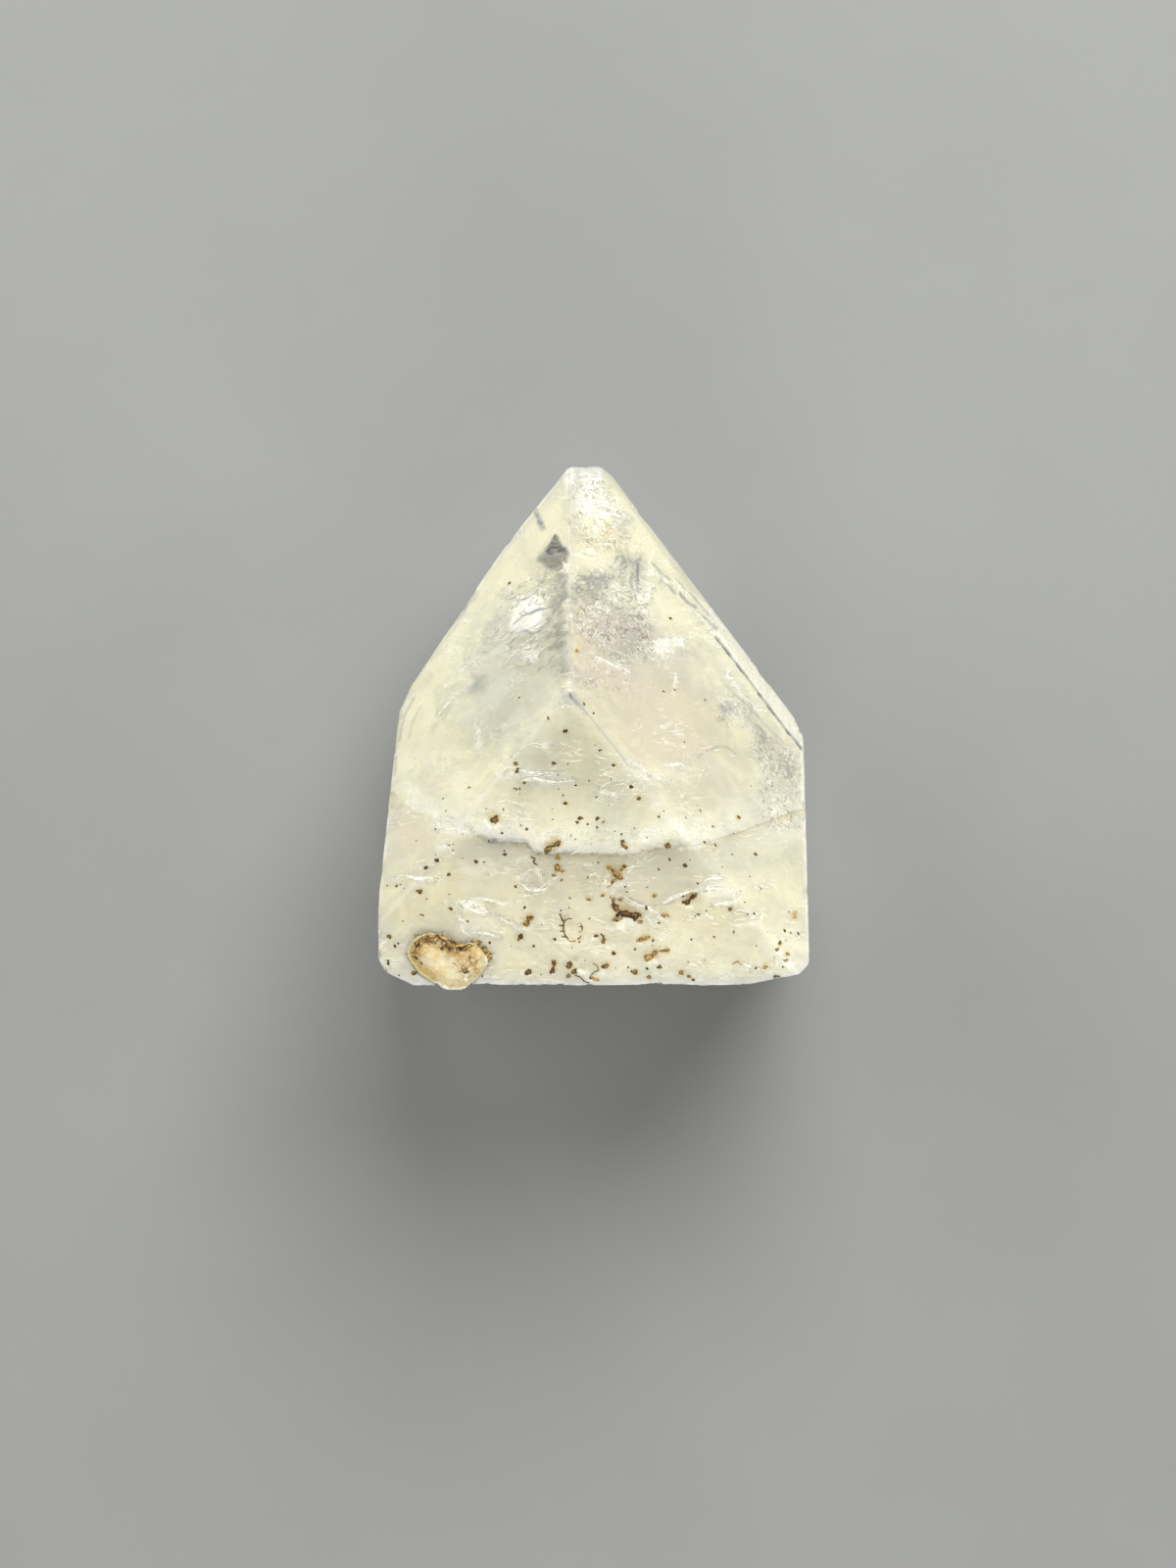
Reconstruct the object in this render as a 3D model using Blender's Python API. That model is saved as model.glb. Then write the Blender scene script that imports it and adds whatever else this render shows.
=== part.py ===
"""A natural apophyllite pyramid: a crystal point lying on a prism face, and the grain of stained
matrix that is still set beside its broken root. Run with: blender --background --python part.py

Crystal frame, used for every measure below: +Y along the crystal's long axis to the point, +Z up
through the upper prism face, +X to the right, and the long axis at x = 0, z = 0.
"""
import math

import bmesh
import bpy
from mathutils import Vector, noise

MM = 0.001

# How far each prism face lies from the long axis.
TOP_FACE = 17.54 * MM
REST_FACE = 16.5 * MM
RIGHT_FACE = 18.2 * MM
LEFT_FACE = 18.35 * MM

# The pyramid faces stand over the corners of the prism and rise at the angle of the species.
PYRAMID_RISE = math.radians(60.5)
PYRAMID_REACH = {
    "right_top": 21.8 * MM,
    "left_top": 24.51 * MM,
    "right_low": 24.14 * MM,
    "left_low": 22.49 * MM,
}

# Lesser faces: an outward direction, and the distance from the frame's origin along it.
LESSER_FACES = {
    "right_ridge": ((0.774, 0.572, 0.271), 25.8 * MM),
    "left_ridge": ((-0.834, 0.552, 0.0), 27.43 * MM),
    "left_shoulder": ((-0.894, 0.447, 0.0), 25.69 * MM),
    "left_taper": ((-0.9957, 0.0924, 0.0), 19.02 * MM),
    "left_heel_side": ((-0.905, -0.425, 0.0), 15.57 * MM),
    "left_heel_end": ((-0.43, -0.903, 0.0), 6.5 * MM),
    "right_heel_side": ((0.707, -0.707, 0.0), 11.47 * MM),
    "right_heel_end": ((0.187, -0.982, 0.0), 2.22 * MM),
}

# The growth ledge crosses the upper faces; below its line the crystal stands a little lower.
LEDGE_LINE = (
    (-24.0, 17.2), (-17.6, 16.4), (-16.3, 16.1), (-14.2, 14.6), (-10.8, 14.0), (-8.7, 12.5),
    (-5.3, 11.6), (-4.0, 11.25), (2.8, 11.1), (4.9, 11.6), (7.9, 11.8), (12.2, 13.0),
    (15.5, 14.2), (18.1, 15.0), (24.0, 15.8),
)
LEDGE_HEIGHT = 0.42 * MM
LEDGE_SLOPE = math.radians(2.0)
LEDGE_SIDE_HEIGHT = 0.3 * MM
LEDGE_LOWEST = 2 * MM

# The broken root slopes from the upper prism face back under the crystal.
ROOT_UNDERCUT = 6.0 * MM
ROOT_GRID = 34
ROOT_DEPTH = 16 * MM
STRIKE_POINT = Vector((-9 * MM, 0.0, -TOP_FACE * 0.2))
RIPPLE_HEIGHT = 0.22 * MM
RIPPLE_SPACING = 4.6 * MM
RIPPLE_REACH = 22 * MM
HACKLE_HEIGHT = 0.34 * MM
HACKLE_SIZE = 4.2 * MM
FINE_HACKLE_HEIGHT = 0.12 * MM
FINE_HACKLE_SIZE = 1.5 * MM
# Along its upper edge the break is calmer, over this part of the crystal's thickness.
CALM_SHARE = 0.3
CALM_DEPTH = 0.2

# Cutters reach past the crystal by this much.
OVERCUT = 3 * MM

EDGE_WEAR = 0.22 * MM
EDGE_STEPS = 2
EDGE_ANGLE = math.radians(12)

# Shell-shaped chips on worn edges: a point on the edge, the way out of it, and radius and depth.
CHIPS = (
    ((-11.6, 32.1, 1.7), (-0.80, 0.57, 0.20), 7.0, 0.22),
    ((-14.2, 28.2, -0.4), (-0.80, 0.57, -0.15), 6.0, 0.18),
    ((18.2, 22.0, -3.0), (0.92, 0.36, -0.10), 8.0, 0.50),
    ((-2.2, 44.9, 1.7), (-0.30, 0.80, 0.55), 2.4, 0.35),
    ((0.3, 30.5, -14.0), (0.05, 0.35, -0.93), 6.0, 0.60),
    ((-8.6, 18.0, -16.5), (-0.55, 0.40, -0.80), 5.5, 0.55),
    ((-17.6, 12.5, -8.4), (-0.80, 0.25, -0.55), 6.0, 0.65),
    ((18.2, 12.0, 9.4), (0.80, 0.30, 0.55), 6.0, 0.40),
    ((10.5, 16.0, 14.0), (0.45, 0.35, 0.85), 7.0, 0.22),
)
CHIP_ROUNDNESS = 3

# Shallow pits where clay grains sat on the upper prism face: middle, radius and depth.
PITS = (
    ((-8.7, 14.4), 0.45, 0.16),
    ((-3.7, 12.1), 0.80, 0.20),
    ((1.8, 9.6), 0.95, 0.24),
    ((2.6, 6.1), 1.45, 0.34),
    ((8.2, 7.4), 0.75, 0.20),
    ((-2.0, 4.8), 1.05, 0.22),
    ((-5.8, 5.5), 0.65, 0.20),
    ((5.1, 2.8), 0.80, 0.22),
    ((-0.1, 1.4), 0.70, 0.20),
)
PIT_ROUNDNESS = 3

# The stained grain: its outline from above, the level of its upper face, and how deep it sits.
GRAIN_OUTLINE = (
    (-15.9, 2.9), (-15.2, 4.1), (-14.2, 4.55), (-13.2, 4.4), (-11.7, 3.3), (-10.3, 3.8),
    (-9.6, 3.1), (-8.95, 2.2), (-10.2, 0.6), (-11.0, -0.25), (-12.7, -0.25), (-13.4, 0.35),
    (-14.8, 1.3),
)
GRAIN_LEVEL = TOP_FACE - 0.36 * MM
GRAIN_SET_IN = 2.4 * MM
GRAIN_TAPER = 0.75
GRAIN_BEVEL = 0.25 * MM
SEAT_GAP = 0.3 * MM


def clear_scene():
    for thing in list(bpy.data.objects):
        bpy.data.objects.remove(thing)


def finish_material(name, colour, roughness):
    material = bpy.data.materials.new(name)
    material.use_nodes = True
    shader = material.node_tree.nodes["Principled BSDF"]
    shader.inputs["Base Color"].default_value = (*colour, 1.0)
    shader.inputs["Roughness"].default_value = roughness
    shader.inputs["Metallic"].default_value = 0.0
    material.diffuse_color = (*colour, 1.0)
    return material


def add_object(name, bm, parent, material=None):
    mesh = bpy.data.meshes.new(name)
    bmesh.ops.recalc_face_normals(bm, faces=bm.faces)
    bm.to_mesh(mesh)
    bm.free()
    thing = bpy.data.objects.new(name, mesh)
    thing.parent = parent
    bpy.context.scene.collection.objects.link(thing)
    if material:
        mesh.materials.append(material)
    return thing


def as_cutter(thing):
    """Hides a body that only cuts; its faces are split into triangles, so that each one is flat."""
    bm = bmesh.new()
    bm.from_mesh(thing.data)
    bmesh.ops.triangulate(bm, faces=bm.faces)
    bm.to_mesh(thing.data)
    bm.free()
    thing.hide_render = True
    thing.display_type = "WIRE"
    return thing


def subtract(body, *cutters):
    """Takes the cutters away from the body, all of them in one step where there are several."""
    cut = body.modifiers.new("less_" + cutters[0].name, "BOOLEAN")
    cut.operation = "DIFFERENCE"
    cut.solver = "EXACT"
    if len(cutters) == 1:
        cut.object = cutters[0]
        return
    group = bpy.data.collections.new(body.name + "_cutters")
    bpy.context.scene.collection.children.link(group)
    for cutter in cutters:
        group.objects.link(cutter)
    cut.operand_type = "COLLECTION"
    cut.collection = group


def crystal_faces(lowered=0.0, sides_lowered=0.0):
    """Every flat face as (outward direction, distance from the frame's origin).

    The upper faces can be asked for as they are below the growth ledge, lowered by its height.
    """
    across = math.sin(PYRAMID_RISE) / math.sqrt(2)
    along = math.cos(PYRAMID_RISE)
    sides = {
        "right_top": (across, along, across),
        "left_top": (-across, along, across),
        "right_low": (across, along, -across),
        "left_low": (-across, along, -across),
    }
    faces = []
    for name, reach in PYRAMID_REACH.items():
        faces.append((sides[name], reach - (sides_lowered if name.endswith("top") else 0.0)))
    faces += [
        ((1, 0, 0), RIGHT_FACE),
        ((-1, 0, 0), LEFT_FACE),
        ((0, 0, -1), REST_FACE),
    ]
    if lowered:
        middle = min(y for x, y in LEDGE_LINE) * MM
        down = Vector((0, -math.sin(LEDGE_SLOPE), math.cos(LEDGE_SLOPE)))
        faces.append((down, down.dot(Vector((0, middle, TOP_FACE - lowered)))))
    else:
        faces.append(((0, 0, 1), TOP_FACE))
    return faces + list(LESSER_FACES.values())


def cleave(bm, direction, distance):
    """Cuts the solid flat along one face, and closes the cut."""
    normal = Vector(direction).normalized()
    cut = bmesh.ops.bisect_plane(
        bm,
        geom=bm.verts[:] + bm.edges[:] + bm.faces[:],
        dist=1e-7,
        plane_co=normal * distance,
        plane_no=normal,
        clear_outer=True,
    )
    rim = [e for e in cut["geom_cut"] if isinstance(e, bmesh.types.BMEdge)]
    if rim:
        bmesh.ops.edgeloop_fill(bm, edges=rim)


def crystal_block(faces):
    """The grown form: a block cleaved along each crystal face."""
    bm = bmesh.new()
    bmesh.ops.create_cube(bm, size=120 * MM)
    for direction, distance in faces:
        cleave(bm, direction, distance)
    bmesh.ops.remove_doubles(bm, verts=bm.verts, dist=1e-6)
    return bm


def stacked_solid(rings):
    """A closed solid through rings of as many points each, from the lowest ring to the highest."""
    bm = bmesh.new()
    rows = [[bm.verts.new(p) for p in ring] for ring in rings]
    bm.faces.new(rows[0][::-1])
    bm.faces.new(rows[-1])
    for lower, upper in zip(rows, rows[1:]):
        for i in range(len(lower)):
            j = (i + 1) % len(lower)
            bm.faces.new((lower[i], lower[j], upper[j], upper[i]))
    return bm


def at_level(outline, level):
    return [Vector((p.x, p.y, level)) for p in outline]


def below_ledge():
    """All that lies below the ledge's line, over the upper half of the crystal."""
    line = [Vector(p) * MM for p in LEDGE_LINE]
    line += [Vector((line[-1].x, -ROOT_DEPTH)), Vector((line[0].x, -ROOT_DEPTH))]
    return stacked_solid([at_level(line, LEDGE_LOWEST), at_level(line, TOP_FACE + OVERCUT)])


def root_height(x, z):
    """How far up the long axis the break lies, for a point of its sloping plane."""
    depth = (TOP_FACE - z) / (TOP_FACE + REST_FACE)
    slope = ROOT_UNDERCUT * depth
    away = Vector((x, 0, z)) - STRIKE_POINT
    fading = math.exp(-away.length / RIPPLE_REACH)
    ripple = RIPPLE_HEIGHT * math.sin(away.length / RIPPLE_SPACING * math.tau) * fading
    place = Vector((x, 0, z))
    hackle = HACKLE_HEIGHT * noise.noise(place / HACKLE_SIZE)
    hackle += FINE_HACKLE_HEIGHT * noise.noise(place / FINE_HACKLE_SIZE)
    strength = CALM_SHARE + (1 - CALM_SHARE) * min(1.0, max(0.0, depth / CALM_DEPTH))
    return slope + (ripple + hackle) * strength


def root_break():
    """The body that was torn off with the root: everything below the rippled break."""
    bm = bmesh.new()
    half_x = LEFT_FACE + OVERCUT
    half_z = TOP_FACE + OVERCUT
    bmesh.ops.create_grid(bm, x_segments=ROOT_GRID, y_segments=ROOT_GRID, size=1.0)
    for v in bm.verts:
        x, z = v.co.x * half_x, v.co.y * half_z
        v.co = Vector((x, root_height(x, z), z))
    grown = bmesh.ops.extrude_face_region(bm, geom=bm.faces[:])
    for v in grown["geom"]:
        if isinstance(v, bmesh.types.BMVert):
            v.co.y = -ROOT_DEPTH
    return bm


def add_scoop(bm, point, way_out, radius, depth, roundness):
    """A ball that dips into the surface at the point, by the depth given."""
    centre = point + way_out.normalized() * (radius - depth)
    ball = bmesh.ops.create_icosphere(bm, subdivisions=roundness, radius=radius)
    bmesh.ops.translate(bm, verts=ball["verts"], vec=centre)


def edge_chips():
    bm = bmesh.new()
    for point, way_out, radius, depth in CHIPS:
        add_scoop(bm, Vector(point) * MM, Vector(way_out), radius * MM, depth * MM, CHIP_ROUNDNESS)
    return bm


def clay_pits():
    """The pits' scoops, each as wide across the surface as its pit."""
    ledge_foot = min(y for x, y in LEDGE_LINE)
    bm = bmesh.new()
    for (x, y), radius, depth in PITS:
        level = TOP_FACE
        if y < ledge_foot:
            level -= LEDGE_HEIGHT + (ledge_foot - y) * MM * math.tan(LEDGE_SLOPE)
        elif y < ledge_foot + radius:
            level -= LEDGE_HEIGHT / 2
        ball = (radius**2 + depth**2) / (2 * depth)
        point = Vector((x * MM, y * MM, level))
        add_scoop(bm, point, Vector((0, 0, 1)), ball * MM, depth * MM, PIT_ROUNDNESS)
    return bm


def widened(outline, gap):
    """The outline, given anticlockwise or clockwise, moved outwards by gap all round."""
    area = sum(a.x * b.y - b.x * a.y for a, b in zip(outline, outline[1:] + outline[:1]))
    turn = 1 if area > 0 else -1
    moved = []
    for before, here, after in zip(outline[-1:] + outline[:-1], outline, outline[1:] + outline[:1]):
        first = (here - before).normalized()
        second = (after - here).normalized()
        out_first = Vector((first.y, -first.x)) * turn
        out_second = Vector((second.y, -second.x)) * turn
        way = (out_first + out_second).normalized()
        moved.append(here + way * gap / way.dot(out_first))
    return moved


def grain_block(gap=0.0):
    """The grain, tapering down into the crystal. With a gap it is the seat, open at the top."""
    outline = [Vector(p) * MM for p in GRAIN_OUTLINE]
    middle = sum(outline, Vector((0, 0))) / len(outline)
    foot = [middle + (p - middle) * GRAIN_TAPER for p in outline]
    rings = [
        at_level(widened(foot, gap), GRAIN_LEVEL - GRAIN_SET_IN - gap),
        at_level(widened(outline, gap), GRAIN_LEVEL),
    ]
    if gap:
        rings.append(at_level(widened(outline, gap), GRAIN_LEVEL + OVERCUT))
    return stacked_solid(rings)


def build():
    clear_scene()
    clear_crystal = finish_material("clear_crystal", (0.86, 0.84, 0.70), 0.12)
    iron_stain = finish_material("iron_stain", (0.62, 0.42, 0.16), 0.6)

    frame = bpy.data.objects.new("resting_frame", None)
    bpy.context.scene.collection.objects.link(frame)

    crystal = add_object("crystal", crystal_block(crystal_faces()), frame, clear_crystal)
    wear = crystal.modifiers.new("worn_edges", "BEVEL")
    wear.width = EDGE_WEAR
    wear.segments = EDGE_STEPS
    wear.limit_method = "ANGLE"
    wear.angle_limit = EDGE_ANGLE

    lowered = crystal_block(crystal_faces(LEDGE_HEIGHT, LEDGE_SIDE_HEIGHT))
    core = as_cutter(add_object("crystal_below_ledge", lowered, frame))
    ledge = as_cutter(add_object("ledge_recess", below_ledge(), frame))
    subtract(ledge, core)
    seat = as_cutter(add_object("grain_seat", grain_block(SEAT_GAP), frame))
    chips = as_cutter(add_object("edge_chips", edge_chips(), frame))
    root = as_cutter(add_object("root_break", root_break(), frame))
    pits = as_cutter(add_object("clay_pits", clay_pits(), frame))
    subtract(crystal, ledge, seat, chips, pits, root)

    grain = add_object("matrix_grain", grain_block(), frame, iron_stain)
    broken = grain.modifiers.new("worn_edges", "BEVEL")
    broken.width = GRAIN_BEVEL
    broken.segments = 1
    broken.limit_method = "ANGLE"

    # The origin goes to the middle of the footprint, on the surface that the crystal lies on.
    bpy.context.view_layer.update()
    graph = bpy.context.evaluated_depsgraph_get()
    corners = [Vector(c) for o in (crystal, grain) for c in o.evaluated_get(graph).bound_box]
    low = Vector([min(c[i] for c in corners) for i in range(3)])
    high = Vector([max(c[i] for c in corners) for i in range(3)])
    frame.location = (-(low.x + high.x) / 2, -(low.y + high.y) / 2, -low.z)
    bpy.context.view_layer.update()


build()
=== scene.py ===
import math
import random

import bmesh
import bpy
import numpy as np
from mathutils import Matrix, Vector, kdtree, noise
from mathutils.bvhtree import BVHTree
from mathutils.geometry import delaunay_2d_cdt


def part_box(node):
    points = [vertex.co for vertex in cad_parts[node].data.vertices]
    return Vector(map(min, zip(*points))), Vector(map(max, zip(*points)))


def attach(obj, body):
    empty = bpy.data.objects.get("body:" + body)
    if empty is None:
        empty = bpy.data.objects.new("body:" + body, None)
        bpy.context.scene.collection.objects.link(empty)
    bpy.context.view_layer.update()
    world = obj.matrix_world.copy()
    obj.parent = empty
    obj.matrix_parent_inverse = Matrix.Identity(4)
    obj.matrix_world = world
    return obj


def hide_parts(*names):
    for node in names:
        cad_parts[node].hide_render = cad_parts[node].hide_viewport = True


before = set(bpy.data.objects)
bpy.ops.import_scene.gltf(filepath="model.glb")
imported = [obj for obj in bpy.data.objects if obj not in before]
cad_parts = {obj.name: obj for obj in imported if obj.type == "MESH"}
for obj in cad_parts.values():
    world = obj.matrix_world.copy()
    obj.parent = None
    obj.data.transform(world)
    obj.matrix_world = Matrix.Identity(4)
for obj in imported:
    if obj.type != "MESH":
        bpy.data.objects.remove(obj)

bpy.context.view_layer.update()
mm = 0.001
crystalLow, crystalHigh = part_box("crystal")
grainLow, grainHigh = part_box("matrix_grain")
print("frame loaded, boxes in mm")
for low, high in ((crystalLow, crystalHigh), (grainLow, grainHigh)):
    print([round(s / mm, 1) for s in high - low])

view = {
    "centre": (-0.52, -5.17),  # what the middle of the picture looks at, mm
    "height": 17.0,  # level that is seen at scale, mm
    "distance": 600.0,
    "frame": (1200, 1600),  # steps across and down
    "step": 0.085,  # mm of the scene to one step of the frame
    "sensor": 36.0,
    "clip": (0.01, 10),  # m
}


def makeCamera():
    data = bpy.data.cameras.new("camera")
    data.sensor_width = view["sensor"]
    data.lens = view["sensor"] * view["distance"] / (max(view["frame"]) * view["step"])
    data.clip_start, data.clip_end = view["clip"]
    camera = bpy.data.objects.new("camera", data)
    x, y = view["centre"]
    camera.location = Vector((x, y, view["height"] + view["distance"])) * mm
    bpy.context.scene.collection.objects.link(camera)
    bpy.context.scene.camera = camera
    return camera


def seenFrom(points):
    # where points in mm show in the frame, in steps from its top left corner
    scale = view["distance"] / (view["distance"] + view["height"] - points[:, 2]) / view["step"]
    across = view["frame"][0] / 2 + (points[:, 0] - view["centre"][0]) * scale
    down = view["frame"][1] / 2 - (points[:, 1] - view["centre"][1]) * scale
    return np.column_stack([across, down])


def sightLine(across, down):
    # the camera's line of sight through a place in the frame
    x = view["centre"][0] + (across - view["frame"][0] / 2) * view["step"]
    y = view["centre"][1] - (down - view["frame"][1] / 2) * view["step"]
    start = camera.location.copy()
    return start, (Vector((x, y, view["height"])) * mm - start).normalized()


studio = {
    "floor size": 1.6,  # m
    "floor shades": ((0.288, 0.2976, 0.3007), (0.312, 0.3224, 0.3193)),
    "floor mottle": 14,  # mm
    "floor roughness": 0.7,
    "aim": (0, 0, 0.015),  # m, what the lights are turned to
    "world": 0.08,
    # name: (place in m, size in m, power in W, colour)
    "lights": {
        "window": ((0.14, 0.41, 0.51), 0.50, 5.1, (1.0, 0.99, 0.96)),
        "right fill": ((0.50, 0.08, 0.15), 0.3, 1.05, (1.0, 0.985, 0.95)),
        "left fill": ((-0.46, 0.22, 0.28), 0.5, 1.95, (1.0, 0.985, 0.95)),
        "front fill": ((0.04, -0.52, 0.16), 0.3, 1.3, (1.0, 0.985, 0.95)),
    },
}


def makeLights():
    for name, (place, size, power, colour) in studio["lights"].items():
        data = bpy.data.lights.new(name, "AREA")
        data.shape, data.size, data.energy, data.color = "DISK", size, power, colour
        lamp = bpy.data.objects.new(name, data)
        lamp.location = place
        lamp.rotation_euler = (Vector(studio["aim"]) - lamp.location).to_track_quat("-Z", "Y").to_euler()
        bpy.context.scene.collection.objects.link(lamp)
    world = bpy.data.worlds.new("studio")
    world.use_nodes = True
    world.node_tree.nodes["Background"].inputs["Strength"].default_value = studio["world"]
    world.node_tree.nodes["Background"].inputs["Color"].default_value = (1, 1, 1, 1)
    bpy.context.scene.world = world
    bpy.context.scene.view_settings.view_transform = "Standard"


camera = makeCamera()
makeLights()
print("camera and lights are up")


class Value:
    # a socket that can be added, multiplied and so on with another one or a number
    def __init__(self, shader, socket):
        self.shader, self.socket = shader, socket

    def math(self, operation, *others):
        sockets = {0: self}
        sockets.update({i + 1: other for i, other in enumerate(others)})
        return self.shader.add("ShaderNodeMath", {"operation": operation}, sockets)

    def __add__(self, other):
        return self.math("ADD", other)

    def __sub__(self, other):
        return self.math("SUBTRACT", other)

    def __mul__(self, other):
        return self.math("MULTIPLY", other)

    def __truediv__(self, other):
        return self.math("DIVIDE", other)

    def __rsub__(self, other):
        return self.shader.add("ShaderNodeMath", {"operation": "SUBTRACT"}, {0: other, 1: self})

    __radd__, __rmul__ = __add__, __mul__

    def line(self, level, width):
        # 1 along the contour where the value passes the level, 0 from width away on
        return (1 - (self - level).math("ABSOLUTE") / width).clamped()

    def clamped(self):
        return self.shader.add("ShaderNodeClamp", {}, {"Value": self})

    def between(self, low, high):
        # 0 at low, 1 at high, smooth in between
        settings = {"interpolation_type": "SMOOTHSTEP"}
        return self.shader.add("ShaderNodeMapRange", settings, {0: self, 1: low, 2: high})


class Shader:
    def __init__(self, name):
        self.material = bpy.data.materials.new(name)
        self.material.use_nodes = True
        self.tree = self.material.node_tree
        self.tree.nodes.clear()
        self.place = self.add("ShaderNodeTexCoord", output="Object")

    def add(self, kind, settings=None, sockets=None, output=0):
        node = self.tree.nodes.new(kind)
        for key, setting in (settings or {}).items():
            if key == "stops":
                self.setStops(node.color_ramp, setting)
            else:
                setattr(node, key, setting)
        for key, value in (sockets or {}).items():
            socket = node.inputs[key]
            if isinstance(value, Value):
                self.tree.links.new(value.socket, socket)
            else:
                socket.default_value = value
        return Value(self, node.outputs[output]) if node.outputs else node

    def setStops(self, ramp, stops):
        while len(ramp.elements) < len(stops):
            ramp.elements.new(0.5)
        for element, (position, colour) in zip(ramp.elements, stops):
            element.position = position
            element.color = colour if len(colour) == 4 else (*colour, 1)

    def attribute(self, name):
        return self.add("ShaderNodeAttribute", {"attribute_name": name}, output="Fac")

    def noise(self, size, detail=3.0, roughness=0.5, stretch=(1, 1, 1), warp=0.0):
        # size is how far apart the blobs are, in mm
        scale = tuple(s / (size * mm) for s in stretch)
        spot = self.add("ShaderNodeVectorMath", {"operation": "MULTIPLY"}, {0: self.place, 1: scale})
        sockets = {"Vector": spot, "Scale": 1.0, "Detail": detail, "Roughness": roughness, "Distortion": warp}
        return self.add("ShaderNodeTexNoise", {}, sockets)

    def mix(self, share, first, second):
        # share is 0 for all of first
        node = self.tree.nodes.new("ShaderNodeMix")
        node.data_type = "RGBA"
        for key, value in ((0, share), (6, first), (7, second)):
            if isinstance(value, Value):
                self.tree.links.new(value.socket, node.inputs[key])
            else:
                node.inputs[key].default_value = value if key == 0 or len(value) == 4 else (*value, 1)
        return Value(self, node.outputs[2])

    def bump(self, height, depth):
        # depth is in mm
        sockets = {"Height": height, "Distance": depth * mm, "Strength": 1.0}
        return self.add("ShaderNodeBump", {}, sockets)

    def surface(self, shader, volume=None):
        out = self.tree.nodes.new("ShaderNodeOutputMaterial")
        self.tree.links.new(shader.socket, out.inputs["Surface"])
        if volume:
            self.tree.links.new(volume.socket, out.inputs["Volume"])
        return self.material


def makeFloor():
    half = studio["floor size"] / 2
    corners = [(-half, -half, 0), (half, -half, 0), (half, half, 0), (-half, half, 0)]
    mesh = bpy.data.meshes.new("floor")
    mesh.from_pydata(corners, [], [(0, 1, 2, 3)])
    floor = bpy.data.objects.new("floor", mesh)
    bpy.context.scene.collection.objects.link(floor)
    s = Shader("floor")
    colour = s.mix(s.noise(studio["floor mottle"], 4), *studio["floor shades"])
    settings = {"Base Color": colour, "Roughness": studio["floor roughness"]}
    mesh.materials.append(s.surface(s.add("ShaderNodeBsdfPrincipled", {}, settings)))


makeFloor()

crystalMesh = {
    # mm between points: on the faces seen from above, on the rest, and on the broken root
    "crystal": (0.19, 0.45, 0.33),
    "matrix_grain": (0.14, 0.20, 0.20),
    "weld": 0.02,  # points closer than this become one
    "flat": math.radians(0.6),  # faces closer than this in angle are one face
    "sharp": math.radians(14),
    "uneven": 0.16,  # how far a point strays from the even grid, in spacings
    "clear": 0.45,  # of a face's border, in spacings
    "base": 5,  # below this height, in mm, no face is seen from above
    "seed": 7,
}


def cadFaces(node):
    bm = bmesh.new()
    bm.from_mesh(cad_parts[node].data)
    bmesh.ops.remove_doubles(bm, verts=bm.verts, dist=crystalMesh["weld"] * mm)
    bmesh.ops.dissolve_degenerate(bm, edges=bm.edges, dist=crystalMesh["weld"] * mm)
    bmesh.ops.dissolve_limit(bm, angle_limit=crystalMesh["flat"], verts=bm.verts, edges=bm.edges)
    bm.normal_update()
    return bm


def spacingOf(face, node):
    upper, rest, root = crystalMesh[node]
    if face.normal.z > 0.2 and face.calc_center_median().z > crystalMesh["base"] * mm:
        return upper * mm
    return (root if face.normal.y < -0.6 else rest) * mm


def splitEdges(bm, node):
    for edge in list(bm.edges):
        count = max(1, round(edge.calc_length() / min(spacingOf(f, node) for f in edge.link_faces)))
        vert = edge.verts[0]
        for left in range(count, 1, -1):
            vert = bmesh.utils.edge_split(edge, vert, 1 / left)[1]


def evenPoints(outline, step, rand):
    # a triangular grid of points inside the outline, a little uneven, and clear of its edge
    low, high = outline.min(0), outline.max(0)
    xs = np.arange(low[0], high[0], step)
    ys = np.arange(low[1], high[1], step * 0.866)  # rows of even triangles
    grid = np.array([(x + (j % 2) * step / 2, y) for j, y in enumerate(ys) for x in xs]).reshape(-1, 2)
    grid += rand.uniform(-crystalMesh["uneven"], crystalMesh["uneven"], grid.shape) * step
    ways = np.roll(outline, -1, 0) - outline
    clear, inside = np.ones(len(grid), bool), np.zeros(len(grid), bool)
    for start, way in zip(outline, ways):
        off = grid - start
        along = np.clip((off @ way) / max(way @ way, 1e-18), 0, 1)
        clear &= ((off - along[:, None] * way) ** 2).sum(1) > (crystalMesh["clear"] * step) ** 2
        if way[1]:
            crossed = (off[:, 1] >= 0) != (off[:, 1] >= way[1])
            inside ^= crossed & (off[:, 0] < way[0] * off[:, 1] / way[1])
    return grid[clear & inside]


def fillEvenly(bm, node):
    # every face is filled with even triangles between its own border points
    rand = np.random.RandomState(crystalMesh["seed"])
    for face in list(bm.faces):
        step = spacingOf(face, node)
        if len(face.verts) == 3 or face.calc_area() < step**2:
            continue
        origin, out = face.verts[0].co.copy(), face.normal.copy()
        across = out.orthogonal().normalized()
        along = out.cross(across)
        ring = list(face.verts)
        outline = np.array([((v.co - origin).dot(across), (v.co - origin).dot(along)) for v in ring])
        inner = evenPoints(outline, step, rand)
        points = [Vector(p) for p in np.vstack([outline, inner]) / mm]
        made = delaunay_2d_cdt(points, [], [list(range(len(ring)))], 1, 1e-7)
        verts = list(ring) + [bm.verts.new(origin + across * x + along * y) for x, y in inner]
        place = [source[0] for source in made[3]]
        bm.faces.remove(face)
        for triangle in made[2]:
            corners = {verts[place[i]] for i in triangle}
            if len(corners) == 3 and not bm.faces.get(corners):
                bm.faces.new([verts[place[i]] for i in triangle])


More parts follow.
